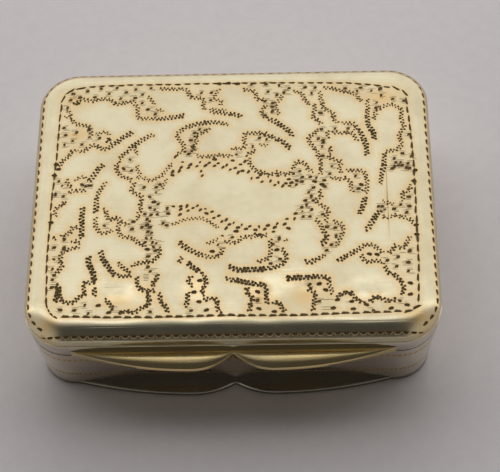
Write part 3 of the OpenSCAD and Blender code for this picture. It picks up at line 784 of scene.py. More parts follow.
left_leaves = [
    (even, [(-13.75, 1.8), (-13.5, 1.3), (-13.2, 1.0)]),
    (fine, [(-13.0, 1.5), (-12.7, 1.9), (-12.4, 2.0), (-12.1, 1.85)]),
    (heavy, [(-12.0, 1.5), (-11.7, 1.6), (-11.5, 2.0), (-11.3, 2.35), (-11.1, 2.7), (-10.9, 3.05),
             (-10.65, 3.15)]),
    (even, [(-13.5, 0.4), (-13.1, 0.6), (-12.7, 0.65), (-12.35, 0.6), (-12.05, 0.65)]),
    (even, [(-13.55, -0.3), (-13.8, -0.5), (-13.8, -0.8), (-14.1, -0.85), (-14.35, -1.0), (-14.4, -1.4),
            (-14.4, -1.8)]),
    (swelling, [(-10.4, 1.5), (-10.6, 1.0), (-10.85, 0.6), (-11.0, 0.2), (-11.1, -0.3), (-11.1, -0.9),
                (-11.1, -1.5)]),
    (even, [(-11.1, -1.9), (-11.1, -2.4), (-11.05, -2.9), (-10.85, -3.2), (-10.6, -3.5), (-10.3, -3.5),
            (-9.95, -3.35), (-9.6, -3.25)]),
    (even, [(-10.6, -1.2), (-10.3, -1.3), (-10.3, -1.7), (-10.1, -2.1), (-9.95, -2.3), (-9.6, -2.1),
            (-9.3, -2.0), (-9.15, -2.3), (-9.15, -2.7), (-9.25, -3.0), (-9.2, -3.4), (-9.0, -3.8),
            (-8.7, -4.0), (-8.3, -3.95)]),
    (fine, [(-9.1, -2.3), (-8.85, -2.5), (-8.6, -2.8), (-8.4, -2.6)]),
    (even, [(-9.5, 3.5), (-9.4, 3.25), (-9.65, 2.95), (-9.55, 2.5), (-9.3, 2.1), (-8.95, 1.9),
            (-8.6, 1.75), (-8.3, 1.5)]),
    (fine, [(-8.0, 1.75), (-7.6, 1.75), (-7.3, 1.8), (-7.0, 1.45), (-6.6, 1.5), (-6.2, 1.7), (-5.9, 1.9),
            (-5.6, 2.2), (-5.4, 2.6), (-5.2, 2.9), (-5.0, 3.1)]),
    (fine, [(-7.85, 3.1), (-7.9, 2.7), (-7.7, 2.3), (-7.6, 2.0)]),
    (even, [(-7.95, 1.4), (-8.1, 1.1), (-8.2, 0.8), (-8.25, 0.5), (-7.95, 0.2), (-7.6, 0.1),
            (-7.35, -0.15), (-7.4, -0.5), (-7.55, -0.75), (-7.5, -1.05), (-7.4, -1.3), (-7.55, -1.6),
            (-7.7, -2.0), (-7.6, -2.3)]),
    (fine, [(-5.45, 1.7), (-5.5, 1.3), (-5.8, 0.7)]),
    (heavy, [(-12.1, -0.9), (-12.2, -1.3), (-12.2, -1.7), (-12.2, -2.2), (-12.15, -2.7), (-12.2, -3.0),
             (-12.15, -3.4), (-12.2, -3.6), (-12.1, -3.95)]),
    (even, [(-12.4, -3.0), (-12.65, -2.8), (-12.9, -2.9), (-13.0, -3.3), (-13.4, -3.6), (-13.7, -3.6),
            (-13.5, -3.9)]),
    (heavy, [(-14.55, -3.95), (-14.2, -3.95)]),
]
left_dots = [
    (-14.3, 1.6), (-14.0, 1.15), (-12.35, 1.2), (-12.05, 1.05), (-11.7, 1.1), (-14.5, 0.3), (-13.85, 0.1),
    (-9.0, 2.7), (-8.35, 2.5), (-8.5, 3.6), (-6.25, 0.8), (-6.25, 0.3), (-7.25, 0.8), (-6.75, -0.15),
    (-6.05, -0.85), (-5.95, 1.05), (-6.7, -1.2), (-6.3, -1.4), (-7.1, -1.8), (-6.6, -1.9), (-6.1, -1.85),
    (-5.2, -1.8), (-5.3, -1.3), (-6.9, -2.3), (-6.7, -2.5), (-6.9, -2.85), (-6.65, -3.05), (-7.3, -3.05),
    (-8.1, -3.2), (-8.0, -2.5), (-10.35, -2.8), (-6.8, -3.5), (-6.5, -3.6), (-5.6, -2.7), (-5.3, -2.9)]

middle_leaves = [
    (even, [(1.3, 3.6), (1.35, 3.0), (1.6, 2.7), (1.85, 2.25), (2.2, 2.1), (2.6, 2.1), (2.9, 1.75),
            (3.3, 1.9), (3.6, 2.1), (3.9, 2.0), (4.3, 1.8), (4.6, 1.9), (4.85, 2.1)]),
    (fine, [(-4.9, -2.9), (-4.4, -2.6), (-3.9, -2.4), (-3.3, -2.3), (-2.7, -2.25), (-2.3, -2.35),
            (-1.95, -2.6), (-1.5, -3.0), (-1.1, -3.25)]),
]
middle_dots = [
    (-4.75, 3.8), (-4.15, 3.25), (-4.25, 2.7), (-4.95, 2.3), (-4.4, 2.35), (-4.95, 1.95), (-3.5, 2.95),
    (-3.65, 2.65), (-2.95, 2.8), (-2.7, 3.2), (-2.6, 2.3), (-2.5, 1.85), (-2.25, 2.85), (-1.95, 3.1),
    (-1.5, 2.8), (-1.5, 3.45), (-1.2, 3.05), (-0.8, 2.65), (-0.5, 2.85), (-0.2, 2.4), (0, 3.3),
    (0.2, 2.55), (0.65, 2.9), (0.8, 2.25), (0.45, 2.1), (1.0, 3.2), (1.15, 3.75), (1.3, 2.15),
    (2.3, 1.85), (2.05, 1.55), (2.4, 1.15), (3.1, 1.2), (3.7, 1.7), (3.75, 1.05), (4.35, 0.95),
    (4.8, 1.0), (4.6, 1.35), (4.1, 0.7), (3.45, 0.8), (1.55, 1.5), (4.65, 0.7), (-4.8, -1.1),
    (-4.2, -1.1), (-4.2, -1.4), (-3.7, -1.1), (-3.6, -1.55), (-3.2, -1.3), (-4.25, -1.9), (-2.85, -1.1),
    (-2.6, -1.5), (-2.2, -1.4), (-2.1, -1.85), (-1.65, -1.7), (-1.5, -2.3), (-1.1, -2.1), (-0.85, -2.65),
    (-0.5, -2.5), (0.1, -2.8), (-0.25, -2.95), (-0.5, -3.3), (0.45, -3.25), (0.75, -3.0), (1.1, -3.4),
    (1.4, -3.15), (1.85, -3.5), (2.15, -3.2), (1.8, -3.85), (2.6, -3.45), (2.85, -3.1), (3.4, -3.3),
    (3.3, -3.7), (3.6, -2.95), (4.2, -3.0), (4.4, -2.5), (5.0, -2.5), (5.1, -2.0), (4.5, -3.4),
    (-0.8, -4.0), (2.2, -3.95)]

right_leaves = [
    (even, [(4.9, 2.3), (5.05, 2.65), (5.1, 2.95), (5.45, 3.1), (5.75, 3.0), (6.05, 2.8), (6.1, 2.4),
            (6.3, 2.2), (6.6, 2.1)]),
    (even, [(7.05, 4.0), (7.05, 3.65), (7.3, 3.15), (7.2, 2.65), (7.3, 2.4), (7.15, 2.1), (7.25, 1.75)]),
    (even, [(8.0, 3.9), (7.9, 3.55), (8.2, 3.35), (8.5, 3.2), (8.85, 3.15), (8.9, 2.85), (8.75, 2.5),
            (8.75, 2.25), (8.95, 1.95)]),
    (even, [(9.2, 2.2), (9.6, 2.15), (10.0, 2.15), (10.35, 2.2), (10.7, 2.1), (10.9, 1.75), (10.9, 1.4),
            (11.0, 1.1), (10.95, 0.7), (10.95, 0.3), (10.8, -0.1)]),
    (heavy, [(10.75, -0.4), (10.65, -0.8), (10.6, -1.2), (10.5, -1.5), (10.4, -1.8), (10.2, -2.1)]),
    (even, [(7.9, 1.4), (8.3, 1.5), (8.6, 1.3), (8.95, 1.35), (9.3, 1.45), (9.5, 1.2), (9.65, 0.9),
            (9.65, 0.5), (9.75, 0.05)]),
    (even, [(7.1, 0.4), (7.1, 0), (7.25, -0.3), (6.9, -0.6), (6.8, -0.95), (7.1, -1.15), (7.5, -1.45),
            (7.8, -1.8), (7.6, -2.3), (7.5, -2.8)]),
    (swelling, [(6.7, -2.4), (6.9, -2.8), (7.1, -3.1), (7.2, -3.5), (7.35, -3.8), (7.6, -4.15),
                (7.5, -4.5), (7.35, -4.7), (7.1, -4.9)]),
    (even, [(8.0, -2.75), (8.3, -2.85), (8.6, -2.95), (8.85, -3.15), (8.95, -3.5), (8.85, -3.9),
            (8.65, -4.4), (8.4, -4.8), (8.35, -5.1)]),
    (full_middle, [(12.6, 4.0), (12.5, 3.7), (12.55, 3.4), (12.4, 3.0), (12.45, 2.6), (12.3, 2.2),
                   (12.25, 1.9), (12.15, 1.5), (12.1, 1.1), (12.05, 0.8)]),
    (even, [(14.35, 0.75), (14.5, 0.4), (14.4, 0.1), (14.1, 0.1), (13.8, -0.1), (13.8, -0.45),
            (13.85, -0.85)]),
    (fine, [(12.1, -0.95), (12.35, -0.9), (12.6, -1.1), (12.85, -1.2), (13.05, -1.2)]),
    (heavy, [(12.0, -1.7), (11.7, -2.05), (11.5, -2.4), (11.3, -2.75), (11.1, -3.1), (10.95, -3.4),
             (10.7, -3.6)]),
    (even, [(12.05, -2.2), (12.3, -2.55), (12.6, -2.4), (12.9, -2.3), (13.3, -2.2), (13.6, -2.5),
            (13.9, -2.5), (14.25, -2.6), (14.5, -3.0)]),
]
right_dots = [
    (5.5, 2.15), (5.0, 1.9), (5.7, 1.55), (5.25, 1.2), (5.65, 1.1), (5.2, 0.8), (6.35, 1.55), (6.6, 0.5),
    (6.85, 1.45), (7.5, 0.6), (7.5, 1.2), (6.2, 0.05), (6.4, -0.35), (5.9, -0.75), (6.55, -0.75),
    (6.0, -1.2), (5.6, -1.4), (5.65, -1.8), (5.7, -2.3), (6.4, -1.65), (6.25, -2.3), (7.3, -2.1),
    (7.4, 3.65), (8.15, 2.6), (7.95, 1.85), (10.05, 1.6), (10.25, 0.35), (10.55, 0.2), (7.6, -3.3),
    (8.25, -3.4), (13.3, 3.3), (14.4, 2.8), (14.0, 3.8), (14.7, 3.5), (13.4, 2.9), (13.8, 2.9),
    (13.3, 2.5), (13.6, 2.6), (13.9, 2.6), (13.1, 2.3), (14.25, 2.35), (14.5, 2.3), (14.3, -0.5),
    (13.6, -1.25), (14.3, -1.4), (13.05, -1.65), (14.05, -2.0), (12.3, -1.7), (12.1, -1.4), (11.8, -1.4)]

front_left_leaves = [
    (even, [(-12.2, -4.75), (-12.8, -4.9), (-13.3, -5.1), (-13.75, -5.4), (-13.7, -5.7), (-13.8, -6.1),
            (-13.5, -6.4), (-13.65, -6.75), (-13.85, -7.05), (-14.1, -7.3)]),
    (even, [(-13.0, -4.4), (-12.6, -4.2), (-12.2, -4.4)]),
    (heavy, [(-14.0, -8.2), (-13.7, -8.5), (-13.7, -8.9), (-13.8, -9.3), (-13.95, -9.8)]),
    (even, [(-13.6, -9.1), (-13.5, -9.5), (-13.3, -9.8), (-13.0, -9.9), (-12.7, -9.95), (-12.4, -9.85),
            (-12.25, -9.6), (-12.0, -9.4), (-11.7, -9.3), (-11.6, -9.0), (-11.7, -8.6), (-11.75, -8.2),
            (-11.5, -8.05), (-11.2, -8.1), (-10.9, -8.1)]),
    (heavy, [(-11.4, -5.6), (-11.5, -6.0), (-11.4, -6.4), (-11.25, -6.8), (-11.05, -7.2), (-10.95, -7.6),
             (-10.8, -8.0)]),
    (even, [(-10.9, -8.5), (-10.85, -8.9), (-10.85, -9.3)]),
    (heavy, [(-10.5, -5.1), (-10.45, -5.5), (-10.35, -5.9), (-10.2, -6.2), (-10.0, -6.5), (-9.8, -6.8),
             (-9.6, -7.1), (-9.3, -7.5)]),
    (even, [(-9.15, -6.3), (-8.9, -6.6), (-8.6, -6.9), (-8.3, -7.1), (-8.1, -7.4)]),
    (even, [(-9.2, -7.45), (-8.75, -7.6), (-8.3, -7.55), (-8.0, -7.55)]),
    (even, [(-8.0, -6.8), (-7.7, -6.5), (-7.3, -6.4), (-6.9, -6.3), (-6.5, -6.35), (-6.2, -6.1),
            (-5.9, -5.85), (-5.75, -5.45), (-5.9, -5.0)]),
    (even, [(-8.3, -3.95), (-7.8, -4.2), (-7.6, -4.5), (-7.35, -4.6), (-7.0, -4.9)]),
    (even, [(-7.55, -7.6), (-7.5, -8.0), (-7.45, -8.35), (-7.35, -8.7), (-7.1, -8.85), (-6.7, -8.9),
            (-6.3, -8.9), (-6.1, -8.95)]),
    (even, [(-5.9, -7.4), (-5.95, -7.8), (-6.15, -8.05), (-6.3, -8.4), (-6.2, -8.6)]),
    (even, [(-6.8, -9.15), (-6.5, -9.3), (-6.7, -9.7), (-6.4, -9.9), (-6.6, -10.2), (-6.85, -10.4),
            (-7.2, -10.5), (-7.5, -10.8), (-7.9, -10.9), (-8.2, -10.6), (-8.5, -10.8), (-8.8, -10.9)]),
    (even, [(-5.8, -9.1), (-5.65, -9.4), (-5.65, -9.8), (-5.5, -10.1), (-5.2, -10.3), (-5.1, -10.6),
            (-5.0, -10.9)]),
    (even, [(-10.1, -9.6), (-9.85, -9.7), (-9.7, -9.9), (-9.5, -10.2), (-9.3, -10.4)]),
]
front_left_dots = [
    (-14.3, -4.8), (-13.5, -4.9), (-13.5, -4.05), (-14.25, -5.9), (-14.3, -6.8), (-14.15, -7.4),
    (-14.25, -7.8), (-14.25, -8.5), (-6.7, -5.8), (-7.0, -4.5), (-6.9, -4.1), (-6.5, -4.1), (-6.4, -4.5),
    (-6.1, -4.6), (-6.3, -4.95), (-6.15, -5.3), (-11.55, -10.15), (-12.35, -10.6), (-13.45, -10.55),
    (-6.4, -10.85), (-11.25, -10.9), (-9.4, -10.5), (-6.7, -6.8), (-6.5, -7.2)]

front_leaves = [
    (fading, [(-4.3, -4.4), (-4.1, -4.7), (-3.8, -4.95), (-3.5, -5.2), (-3.2, -5.35), (-2.9, -5.55),
              (-2.6, -5.7), (-2.3, -5.8), (-2.0, -5.95), (-1.65, -6.0), (-1.3, -5.95), (-1.0, -5.9),
              (-0.85, -5.5), (-0.75, -5.1)]),
    (fine, [(-2.1, -4.75), (-1.6, -4.55), (-1.15, -4.35)]),
    (even, [(-0.7, -4.6), (-0.4, -4.55), (-0.1, -4.65), (0.25, -4.7), (0.5, -4.45), (0.8, -4.2),
            (1.1, -4.1), (1.4, -4.2), (1.7, -4.1), (2.0, -4.0), (2.4, -4.1), (2.8, -3.95)]),
    (even, [(3.05, -4.3), (3.0, -4.75), (3.1, -5.15), (3.05, -5.5), (3.05, -5.8), (2.95, -6.15),
            (2.6, -6.3), (2.3, -6.4), (2.1, -6.5)]),
    (fine, [(4.4, -4.3), (4.2, -4.6)]),
    (even, [(3.9, -5.2), (4.1, -5.5), (4.25, -5.8), (4.35, -6.1), (4.2, -6.45), (3.9, -6.75), (3.5, -7.0),
            (3.1, -7.1)]),
    (heavy, [(-0.35, -6.75), (0, -7.0), (0.4, -7.15), (0.9, -7.2), (1.3, -7.2), (1.8, -7.2), (2.2, -7.15),
             (2.6, -7.1), (3.0, -7.05)]),
    (even, [(-4.4, -6.4), (-4.1, -6.3), (-4.0, -5.9)]),
    (heavy, [(-3.6, -6.3), (-3.4, -6.65), (-3.15, -6.85), (-2.85, -7.05), (-2.7, -7.3), (-2.45, -7.3)]),
    (even, [(-3.1, -7.6), (-3.4, -7.85), (-3.5, -8.1), (-3.3, -8.35), (-3.1, -8.6)]),
    (even, [(-2.45, -7.4), (-2.2, -7.6), (-2.1, -7.95), (-2.0, -8.3), (-2.2, -8.6), (-2.4, -8.9),
            (-2.2, -9.2), (-2.3, -9.4)]),
    (even, [(-3.4, -9.0), (-3.5, -9.3), (-3.5, -9.7), (-3.5, -10.05), (-3.7, -10.4)]),
    (even, [(-2.3, -9.75), (-2.0, -9.8), (-1.75, -9.7), (-1.5, -9.75), (-1.3, -9.7), (-1.15, -10.0),
            (-1.2, -10.4), (-1.1, -10.8), (-0.8, -10.9)]),
    (full_middle, [(-0.6, -7.9), (-0.35, -7.95), (0, -8.15), (0.35, -8.1), (0.7, -8.2), (1.0, -8.35),
                   (1.3, -8.35), (1.6, -8.45), (1.9, -8.5), (2.2, -8.5), (2.5, -8.6)]),
    (even, [(2.5, -8.6), (2.7, -8.85), (2.7, -9.2), (2.65, -9.6), (2.7, -9.9), (2.75, -10.2)]),
    (even, [(1.3, -8.7), (1.1, -9.1), (1.35, -9.4), (1.55, -9.6), (1.6, -10.0), (1.4, -10.2),
            (1.45, -10.6), (1.3, -10.9)]),
    (even, [(3.1, -10.3), (3.4, -10.1), (3.7, -10.1), (3.8, -10.5), (4.0, -10.8), (4.2, -10.9)]),
    (fading, [(4.2, -7.9), (4.5, -8.05), (4.8, -7.95), (5.2, -7.95), (5.6, -7.9), (6.0, -7.95),
              (6.35, -7.85), (6.7, -7.85), (7.1, -7.9), (7.4, -7.9), (7.65, -8.1), (7.6, -8.5),
              (7.75, -8.8), (7.8, -9.1), (7.9, -9.4)]),
]
front_dots = [
    (-1.15, -4.85), (0, -4.15), (3.75, -4.35), (3.25, -4.85), (3.8, -6.25), (3.05, -6.65), (-3.2, -10.75),
    (2.0, -9.9)]

front_right_leaves = [
    (even, [(6.0, -8.4), (6.1, -8.7), (6.0, -8.95), (6.4, -9.15), (6.55, -9.4), (6.45, -9.8),
            (6.45, -10.2), (6.4, -10.5), (6.3, -10.9)]),
    (even, [(8.2, -9.8), (8.4, -9.5), (8.7, -9.4), (9.0, -9.35), (9.3, -9.25), (9.5, -9.6), (9.7, -9.8),
            (9.9, -10.0), (10.1, -10.2), (10.3, -10.1)]),
    (even, [(10.6, -10.1), (10.95, -10.1), (11.0, -9.8), (11.3, -9.6), (11.5, -9.8), (11.8, -9.9),
            (12.0, -10.05), (12.5, -10.15), (12.8, -10.0)]),
    (even, [(13.25, -9.7), (13.4, -9.4), (13.5, -9.1), (13.45, -8.75), (13.35, -8.5), (13.15, -8.2),
            (12.9, -7.95), (12.7, -7.7), (12.4, -7.75), (12.2, -7.4), (12.1, -7.1), (12.1, -6.8)]),
    (fading, [(8.4, -6.6), (8.7, -6.3), (9.0, -6.1), (9.3, -5.95), (9.5, -5.75), (9.8, -5.6),
              (10.1, -5.45), (10.3, -5.2), (10.6, -5.05), (10.9, -5.0), (11.2, -5.0), (11.4, -5.2),
              (11.6, -5.4), (11.8, -5.6), (12.0, -5.75)]),
    (even, [(10.3, -5.85), (10.3, -6.15), (10.5, -6.5), (10.8, -6.65), (11.0, -6.6), (11.3, -6.5),
            (11.6, -6.55), (11.9, -6.6)]),
    (even, [(12.3, -5.8), (12.7, -5.7), (12.85, -5.3), (13.0, -5.1), (13.25, -5.3), (13.5, -5.4),
            (13.75, -5.25), (13.9, -4.85), (14.1, -4.5), (14.25, -4.3)]),
    (swelling, [(7.5, -5.9), (7.2, -6.0), (7.0, -6.15), (6.7, -6.4), (6.4, -6.5), (6.1, -6.6),
                (5.8, -6.55)]),
]
front_right_dots = [
    (6.8, -10.05), (11.0, -10.95), (13.1, -10.15), (13.0, -7.05), (13.15, -6.2), (13.95, -6.7),
    (14.1, -5.65), (12.3, -6.5), (13.9, -7.5), (8.3, -4.2), (7.9, -5.0), (7.5, -5.5)]

big_dots = [
    (-6.4, -0.65), (0.3, -3.6), (6.7, 1.1), (7.3, 0.8), (10.5, 0.75), (-6.8, -5.15), (-10.5, -10.15),
    (-9.65, -10.8), (-8.7, -10.8), (-1.6, -5.45), (3.55, -5.4), (-2.55, -8.1), (-3.0, -9.1),
    (-2.6, -9.95), (-2.0, -10.75), (2.0, -9.15), (2.1, -10.65), (3.3, -10.95), (6.85, -8.5),
    (7.35, -9.05), (8.25, -9.95), (9.35, -10.1), (9.45, -10.8), (7.9, -10.7), (10.5, -10.4),
    (12.4, -10.8), (13.65, -10.55), (14.0, -8.6), (13.95, -9.6), (10.9, -5.9), (11.5, -5.95),
    (-1.2, 11.35), (-0.4, 11.4), (0.4, 11.3), (-14.6, 3.3), (-14.4, 2.8), (-14.7, 2.2), (-14.7, -2.4),
    (14.95, 2.1), (14.8, 1.05), (14.75, -3.2), (14.75, -4.1)]
border_top = [(-12, 11.3), (-10, 11.42), (0, 11.42), (5, 11.35), (10, 11.2), (11.6, 11.0), (12.8, 10.8),
              (13.8, 10.55)]
border_right = [(13.8, 10.55), (14.2, 10.4), (14.5, 10.15), (14.6, 9.6), (14.65, 9.0), (14.85, 5),
                (14.9, 2), (14.85, -2), (14.8, -6), (14.65, -9.0), (14.6, -9.9), (14.4, -10.8)]
border_front = [(14.4, -10.8), (14.15, -11.05), (13.8, -11.15), (10, -11.2), (5, -11.38), (-1, -11.3),
                (-6, -11.38), (-13.8, -11.2)]
border_corner = [(-13.8, -11.2), (-14.1, -11.05), (-14.33, -10.78), (-14.5, -10.35), (-14.62, -9.8)]
border_left = [(-14.62, -9.8), (-14.68, -9.0), (-14.78, -7), (-14.8, -5), (-14.8, 0), (-14.65, 4),
               (-14.6, 8.7), (-14.55, 9.5), (-14.4, 10.3), (-14, 10.8), (-13, 11.15), (-12, 11.3)]
scratches = [((12.6, 4.0), (12.55, -5.0)), ((-7.1, -7.45), (-6.5, -7.45)), ((-7.1, -7.6), (-6.5, -7.6)),
             ((-7.1, -7.72), (-6.5, -7.74)), ((-7.05, -7.85), (-6.5, -7.86)),
             ((-7.05, -8.0), (-6.6, -8.0)), ((6.6, -9.9), (8.2, -9.9)), ((8.8, -10.15), (9.6, -10.15)),
             ((6.8, -10.6), (8.0, -10.6)), ((6.8, -10.85), (8.0, -10.85)), ((13.2, -5.8), (13.9, -5.8)),
             ((13.4, -6.6), (14.0, -6.6)), ((13.4, -6.75), (14.0, -6.75)), ((13.4, -6.95), (14.0, -6.95))]

# Sizes of the cuts: the least, what full pressure adds, and how much the hand strays
wriggle_step, turn_stray, tooth_place, tooth_drop = 0.155, 0.02, 0.22, 0.6
swing_least, swing_more, swing_stray = 0.115, 0.085, 0.012
half_least, half_more, half_stray = 0.115, 0.08, 0.02
width_least, width_more, width_stray = 0.092, 0.055, 0.012
depth_least, depth_more = 0.045, 0.03
front_zone, front_gain = (-9, -5), (1.45, 1)
scratch_width, scratch_depth = 0.035, 0.02
spot_half, spot_stray, spot_fat, spot_lean, spot_drop, spot_depth = 0.21, 0.03, 0.85, (0.5, 0.5), 0.2, 0.05
hatch_rises, hatch_halves, hatch_width, hatch_depth = (-0.26, -0.13, 0.14, 0.27), (0.22, 0.42), 0.03, 0.015
hatch_stray, line_stray, line_lean = 0.12, 0.08, 0.03
big_dot_lean, big_dot_shape = (-0.4, 0.4), (0.27, 0.22, 0.22, 0.2, 0.07)
border_stray, border_lean, border_half_stray, border_drop, border_depth = 0.015, 0.03, 0.02, 0.25, 0.06

# Each border line with the pitch of its dashes, half their length and their width outside and inside
borders = (
    (border_top, 0.81, 0.36, 0.07, 0.19),
    (border_right, 0.9, 0.48, 0.09, 0.20),
    (border_front, 0.8, 0.41, 0.06, 0.28),
    (border_corner, 0.42, 0.23, 0.06, 0.16),
    (border_left, 1.0, 0.54, 0.09, 0.17))
dice = np.random.default_rng(3)


def walk(path, step):
    """Spots about step apart along a path of points, with their directions and shares of its length."""
    path = np.array(path, float)
    lengths = np.linalg.norm(np.diff(path, axis=0), axis=1)
    run = np.concatenate([[0], np.cumsum(lengths)])
    count = max(2, int(round(run[-1] / step)) + 1)
    stops = np.linspace(0, run[-1], count)
    spots = np.column_stack([np.interp(stops, run, path[:, i]) for i in (0, 1)])
    ways = np.gradient(spots, axis=0)
    return spots, ways / np.linalg.norm(ways, axis=1, keepdims=True), stops / run[-1]


def wriggle(weights, path):
    """Cuts of one wriggle line: a drop at each turn of the zigzag, larger where the graver is pressed."""
    spots, ways, shares = walk(path, wriggle_step)
    weight = np.interp(shares, (0, 0.5, 1), weights)
    side = np.where(np.arange(len(spots)) % 2, 1, -1)
    swing = side * (swing_least + swing_more * weight + dice.normal(0, swing_stray, len(spots)))
    turns = spots + swing[:, None] * np.column_stack([-ways[:, 1], ways[:, 0]])
    turns = turns + dice.normal(0, turn_stray, spots.shape)
    cuts = []
    for before, after, w in zip(turns, turns[1:], weight[1:]):
        middle = after + (before - after) * tooth_place
        lean = math.atan2(after[1] - before[1], after[0] - before[0])
        half = half_least + half_more * w + dice.normal(0, half_stray)
        width = width_least + width_more * w + dice.normal(0, width_stray)
        width = width * np.interp(after[1], front_zone, front_gain)
        cuts.append((*middle, lean, half, width, width, tooth_drop, depth_least + depth_more * w))
    return cuts


def dashes(path, pitch, half, outer, inner):
    """Cuts of a border line: long wedges end to end, straight on the outer side."""
    spots, ways, _ = walk(path, pitch)
    return [(*(s + dice.normal(0, border_stray, 2)), math.atan2(w[1], w[0]) + dice.normal(0, border_lean),
             half + dice.normal(0, border_half_stray), outer, inner, border_drop, border_depth)
            for s, w in zip(spots[:-1], ways)]


def hatching(x, y):
    """Cuts of the hatched ground about a dot: a few fine level lines."""
    left = x + dice.normal(0, hatch_stray)
    return [(left + dice.normal(0, line_stray), y + rise, dice.normal(0, line_lean),
             dice.uniform(*hatch_halves), hatch_width, hatch_width, 0, hatch_depth) for rise in hatch_rises]


lid_cuts = []
for (x0, y0), (x1, y1) in scratches:
    lid_cuts.append(((x0 + x1) / 2, (y0 + y1) / 2, math.atan2(y1 - y0, x1 - x0),
                     math.hypot(x1 - x0, y1 - y0) / 2, scratch_width, scratch_width, 0, scratch_depth))
for leaves in (back_left_leaves, back_leaves, back_right_leaves, left_leaves, middle_leaves, right_leaves,
               front_left_leaves, front_leaves, front_right_leaves):
    for weights, path in leaves:
        lid_cuts += wriggle(weights, path)
for dots in (back_left_dots, back_dots, back_right_dots, left_dots, middle_dots, right_dots, front_left_dots,
             front_dots, front_right_dots):
    for x, y in dots:
        half = spot_half + dice.normal(0, spot_stray)
        lid_cuts.append((x, y, dice.normal(*spot_lean), half, half * spot_fat, half * spot_fat,
                         spot_drop, spot_depth))
    if dots is not middle_dots:
        for x, y in dots:
            lid_cuts += hatching(x, y)
for x, y in big_dots:
    lid_cuts.append((x, y, dice.uniform(*big_dot_lean), *big_dot_shape))
for border in borders:
    lid_cuts += dashes(*border)

# Flat part of the plate inside the roll, and the section from there: the roll, an upright band and a bead
roll_out, roll_down = 1.8, 1.1
band_out, bend_r, bend_down = 1.74, 0.06, 0.77
bead_r, bead_down = 0.07, 1.50
tuck_down = 1.60
roll_turn = np.linspace(0, math.radians(60), 10)
bend_turn = np.linspace(math.radians(48), math.radians(90), 6)
bead_turn = np.linspace(math.radians(8), math.radians(160), 9)
flat_w, flat_d, flat_r = lid_w - 2 * roll_out, lid_d - 2 * roll_out, lid_r - roll_out
section = [(roll_out * math.sin(t), roll_down * (1 - math.cos(t))) for t in roll_turn]
section += [(band_out - bend_r * (1 - math.sin(t)), bend_down - bend_r * math.cos(t)) for t in bend_turn]
section += [(roll_out - bead_r * (1 - math.sin(t)), bead_down - bead_r * math.cos(t)) for t in bead_turn]
section.append((roll_out - (lid_w - body_w) / 2, tuck_down))
section_out, section_down = np.array(section).T
section_tilt = np.arctan2(np.gradient(section_down), np.gradient(section_out))
section_run = np.append(0, np.cumsum(np.hypot(np.diff(section_out), np.diff(section_down))))

# A dome and dents by place, half sizes and depth, from use; and warm patches by place and half sizes: stains
# at the corners, painted reflections at the front
dome_rise = 0.12
dents = (
    (2.6, -9.9, 1.2, 1.3, 0.18), (5.9, -9.3, 1.9, 1.4, 0.20), (10.6, -9.9, 2.6, 1.3, 0.20),
    (-3.0, -9.9, 1.0, 1.2, 0.14), (-9.2, -9.9, 2.0, 1.3, 0.17), (-11, -3, 3.0, 1.6, 0.07),
    (-4.4, -4, 0.8, 4.0, 0.05), (5.0, 4.0, 2.5, 1.5, 0.05), (-9.0, 8.0, 2.0, 1.4, 0.04),
    (10.5, 3.0, 2.0, 2.2, 0.05), (-1.0, 0.5, 3.0, 1.3, 0.04), (2.0, 8.8, 2.4, 1.0, 0.04))
stains_and_warm_reflections = (
    (2.3, -9.7, 1.0, 0.7), (5.9, -9.6, 1.3, 0.9), (-9.0, -9.8, 1.2, 0.5), (12.6, 9.6, 1.6, 1.1),
    (-13.4, 9.9, 1.2, 1.0), (14.6, -11.6, 1.2, 0.8), (-14.4, -11.8, 0.9, 0.7), (-12.9, 6.2, 1.1, 0.6))


def hollow(spots, x, y, half_x, half_y):
    """A soft round hollow or patch: 1 at its middle, falling to nothing round it."""
    return np.exp(-((spots[:, 0] - x) / half_x) ** 2 - ((spots[:, 1] - y) / half_y) ** 2)


def lay_lid(spots):
    """A spot of the lid's plate before its edge was rolled, on the rolled and slightly domed lid."""
    side = np.sign(spots) + (spots == 0)
    from_corner = np.abs(spots) - np.array([flat_w / 2 - flat_r, flat_d / 2 - flat_r])
    from_side = np.abs(spots) - np.array([flat_w, flat_d]) / 2
    in_corner = (from_corner > 0).all(1)
    radial = np.linalg.norm(from_corner, axis=1)
    over = np.clip(np.where(in_corner, radial - flat_r, from_side.max(1)), 0, None)
    straight = np.eye(2)[from_side.argmax(1)]
    away = side * np.where(in_corner[:, None], from_corner / np.maximum(radial, 1e-9)[:, None], straight)
    out = np.interp(over, section_run, section_out)
    tilt = np.interp(over, section_run, section_tilt)
    plan = spots + away * (out - over)[:, None]
    bow = np.clip(1 - (2 * spots / np.array([flat_w, flat_d])) ** 2, 0, 1).prod(1)
    height = case_h - np.interp(over, section_run, section_down) + dome_rise * bow
    for *place, deep in dents:
        height -= deep * hollow(spots, *place)
    normals = np.column_stack([away * np.sin(tilt)[:, None], np.cos(tilt)])
    return np.column_stack([plan, height]), normals


def rim_ring(run):
    """Ring round the unrolled plate, run beyond its flat part."""
    return plan_ring(flat_w + 2 * run, flat_d + 2 * run, flat_r + run)


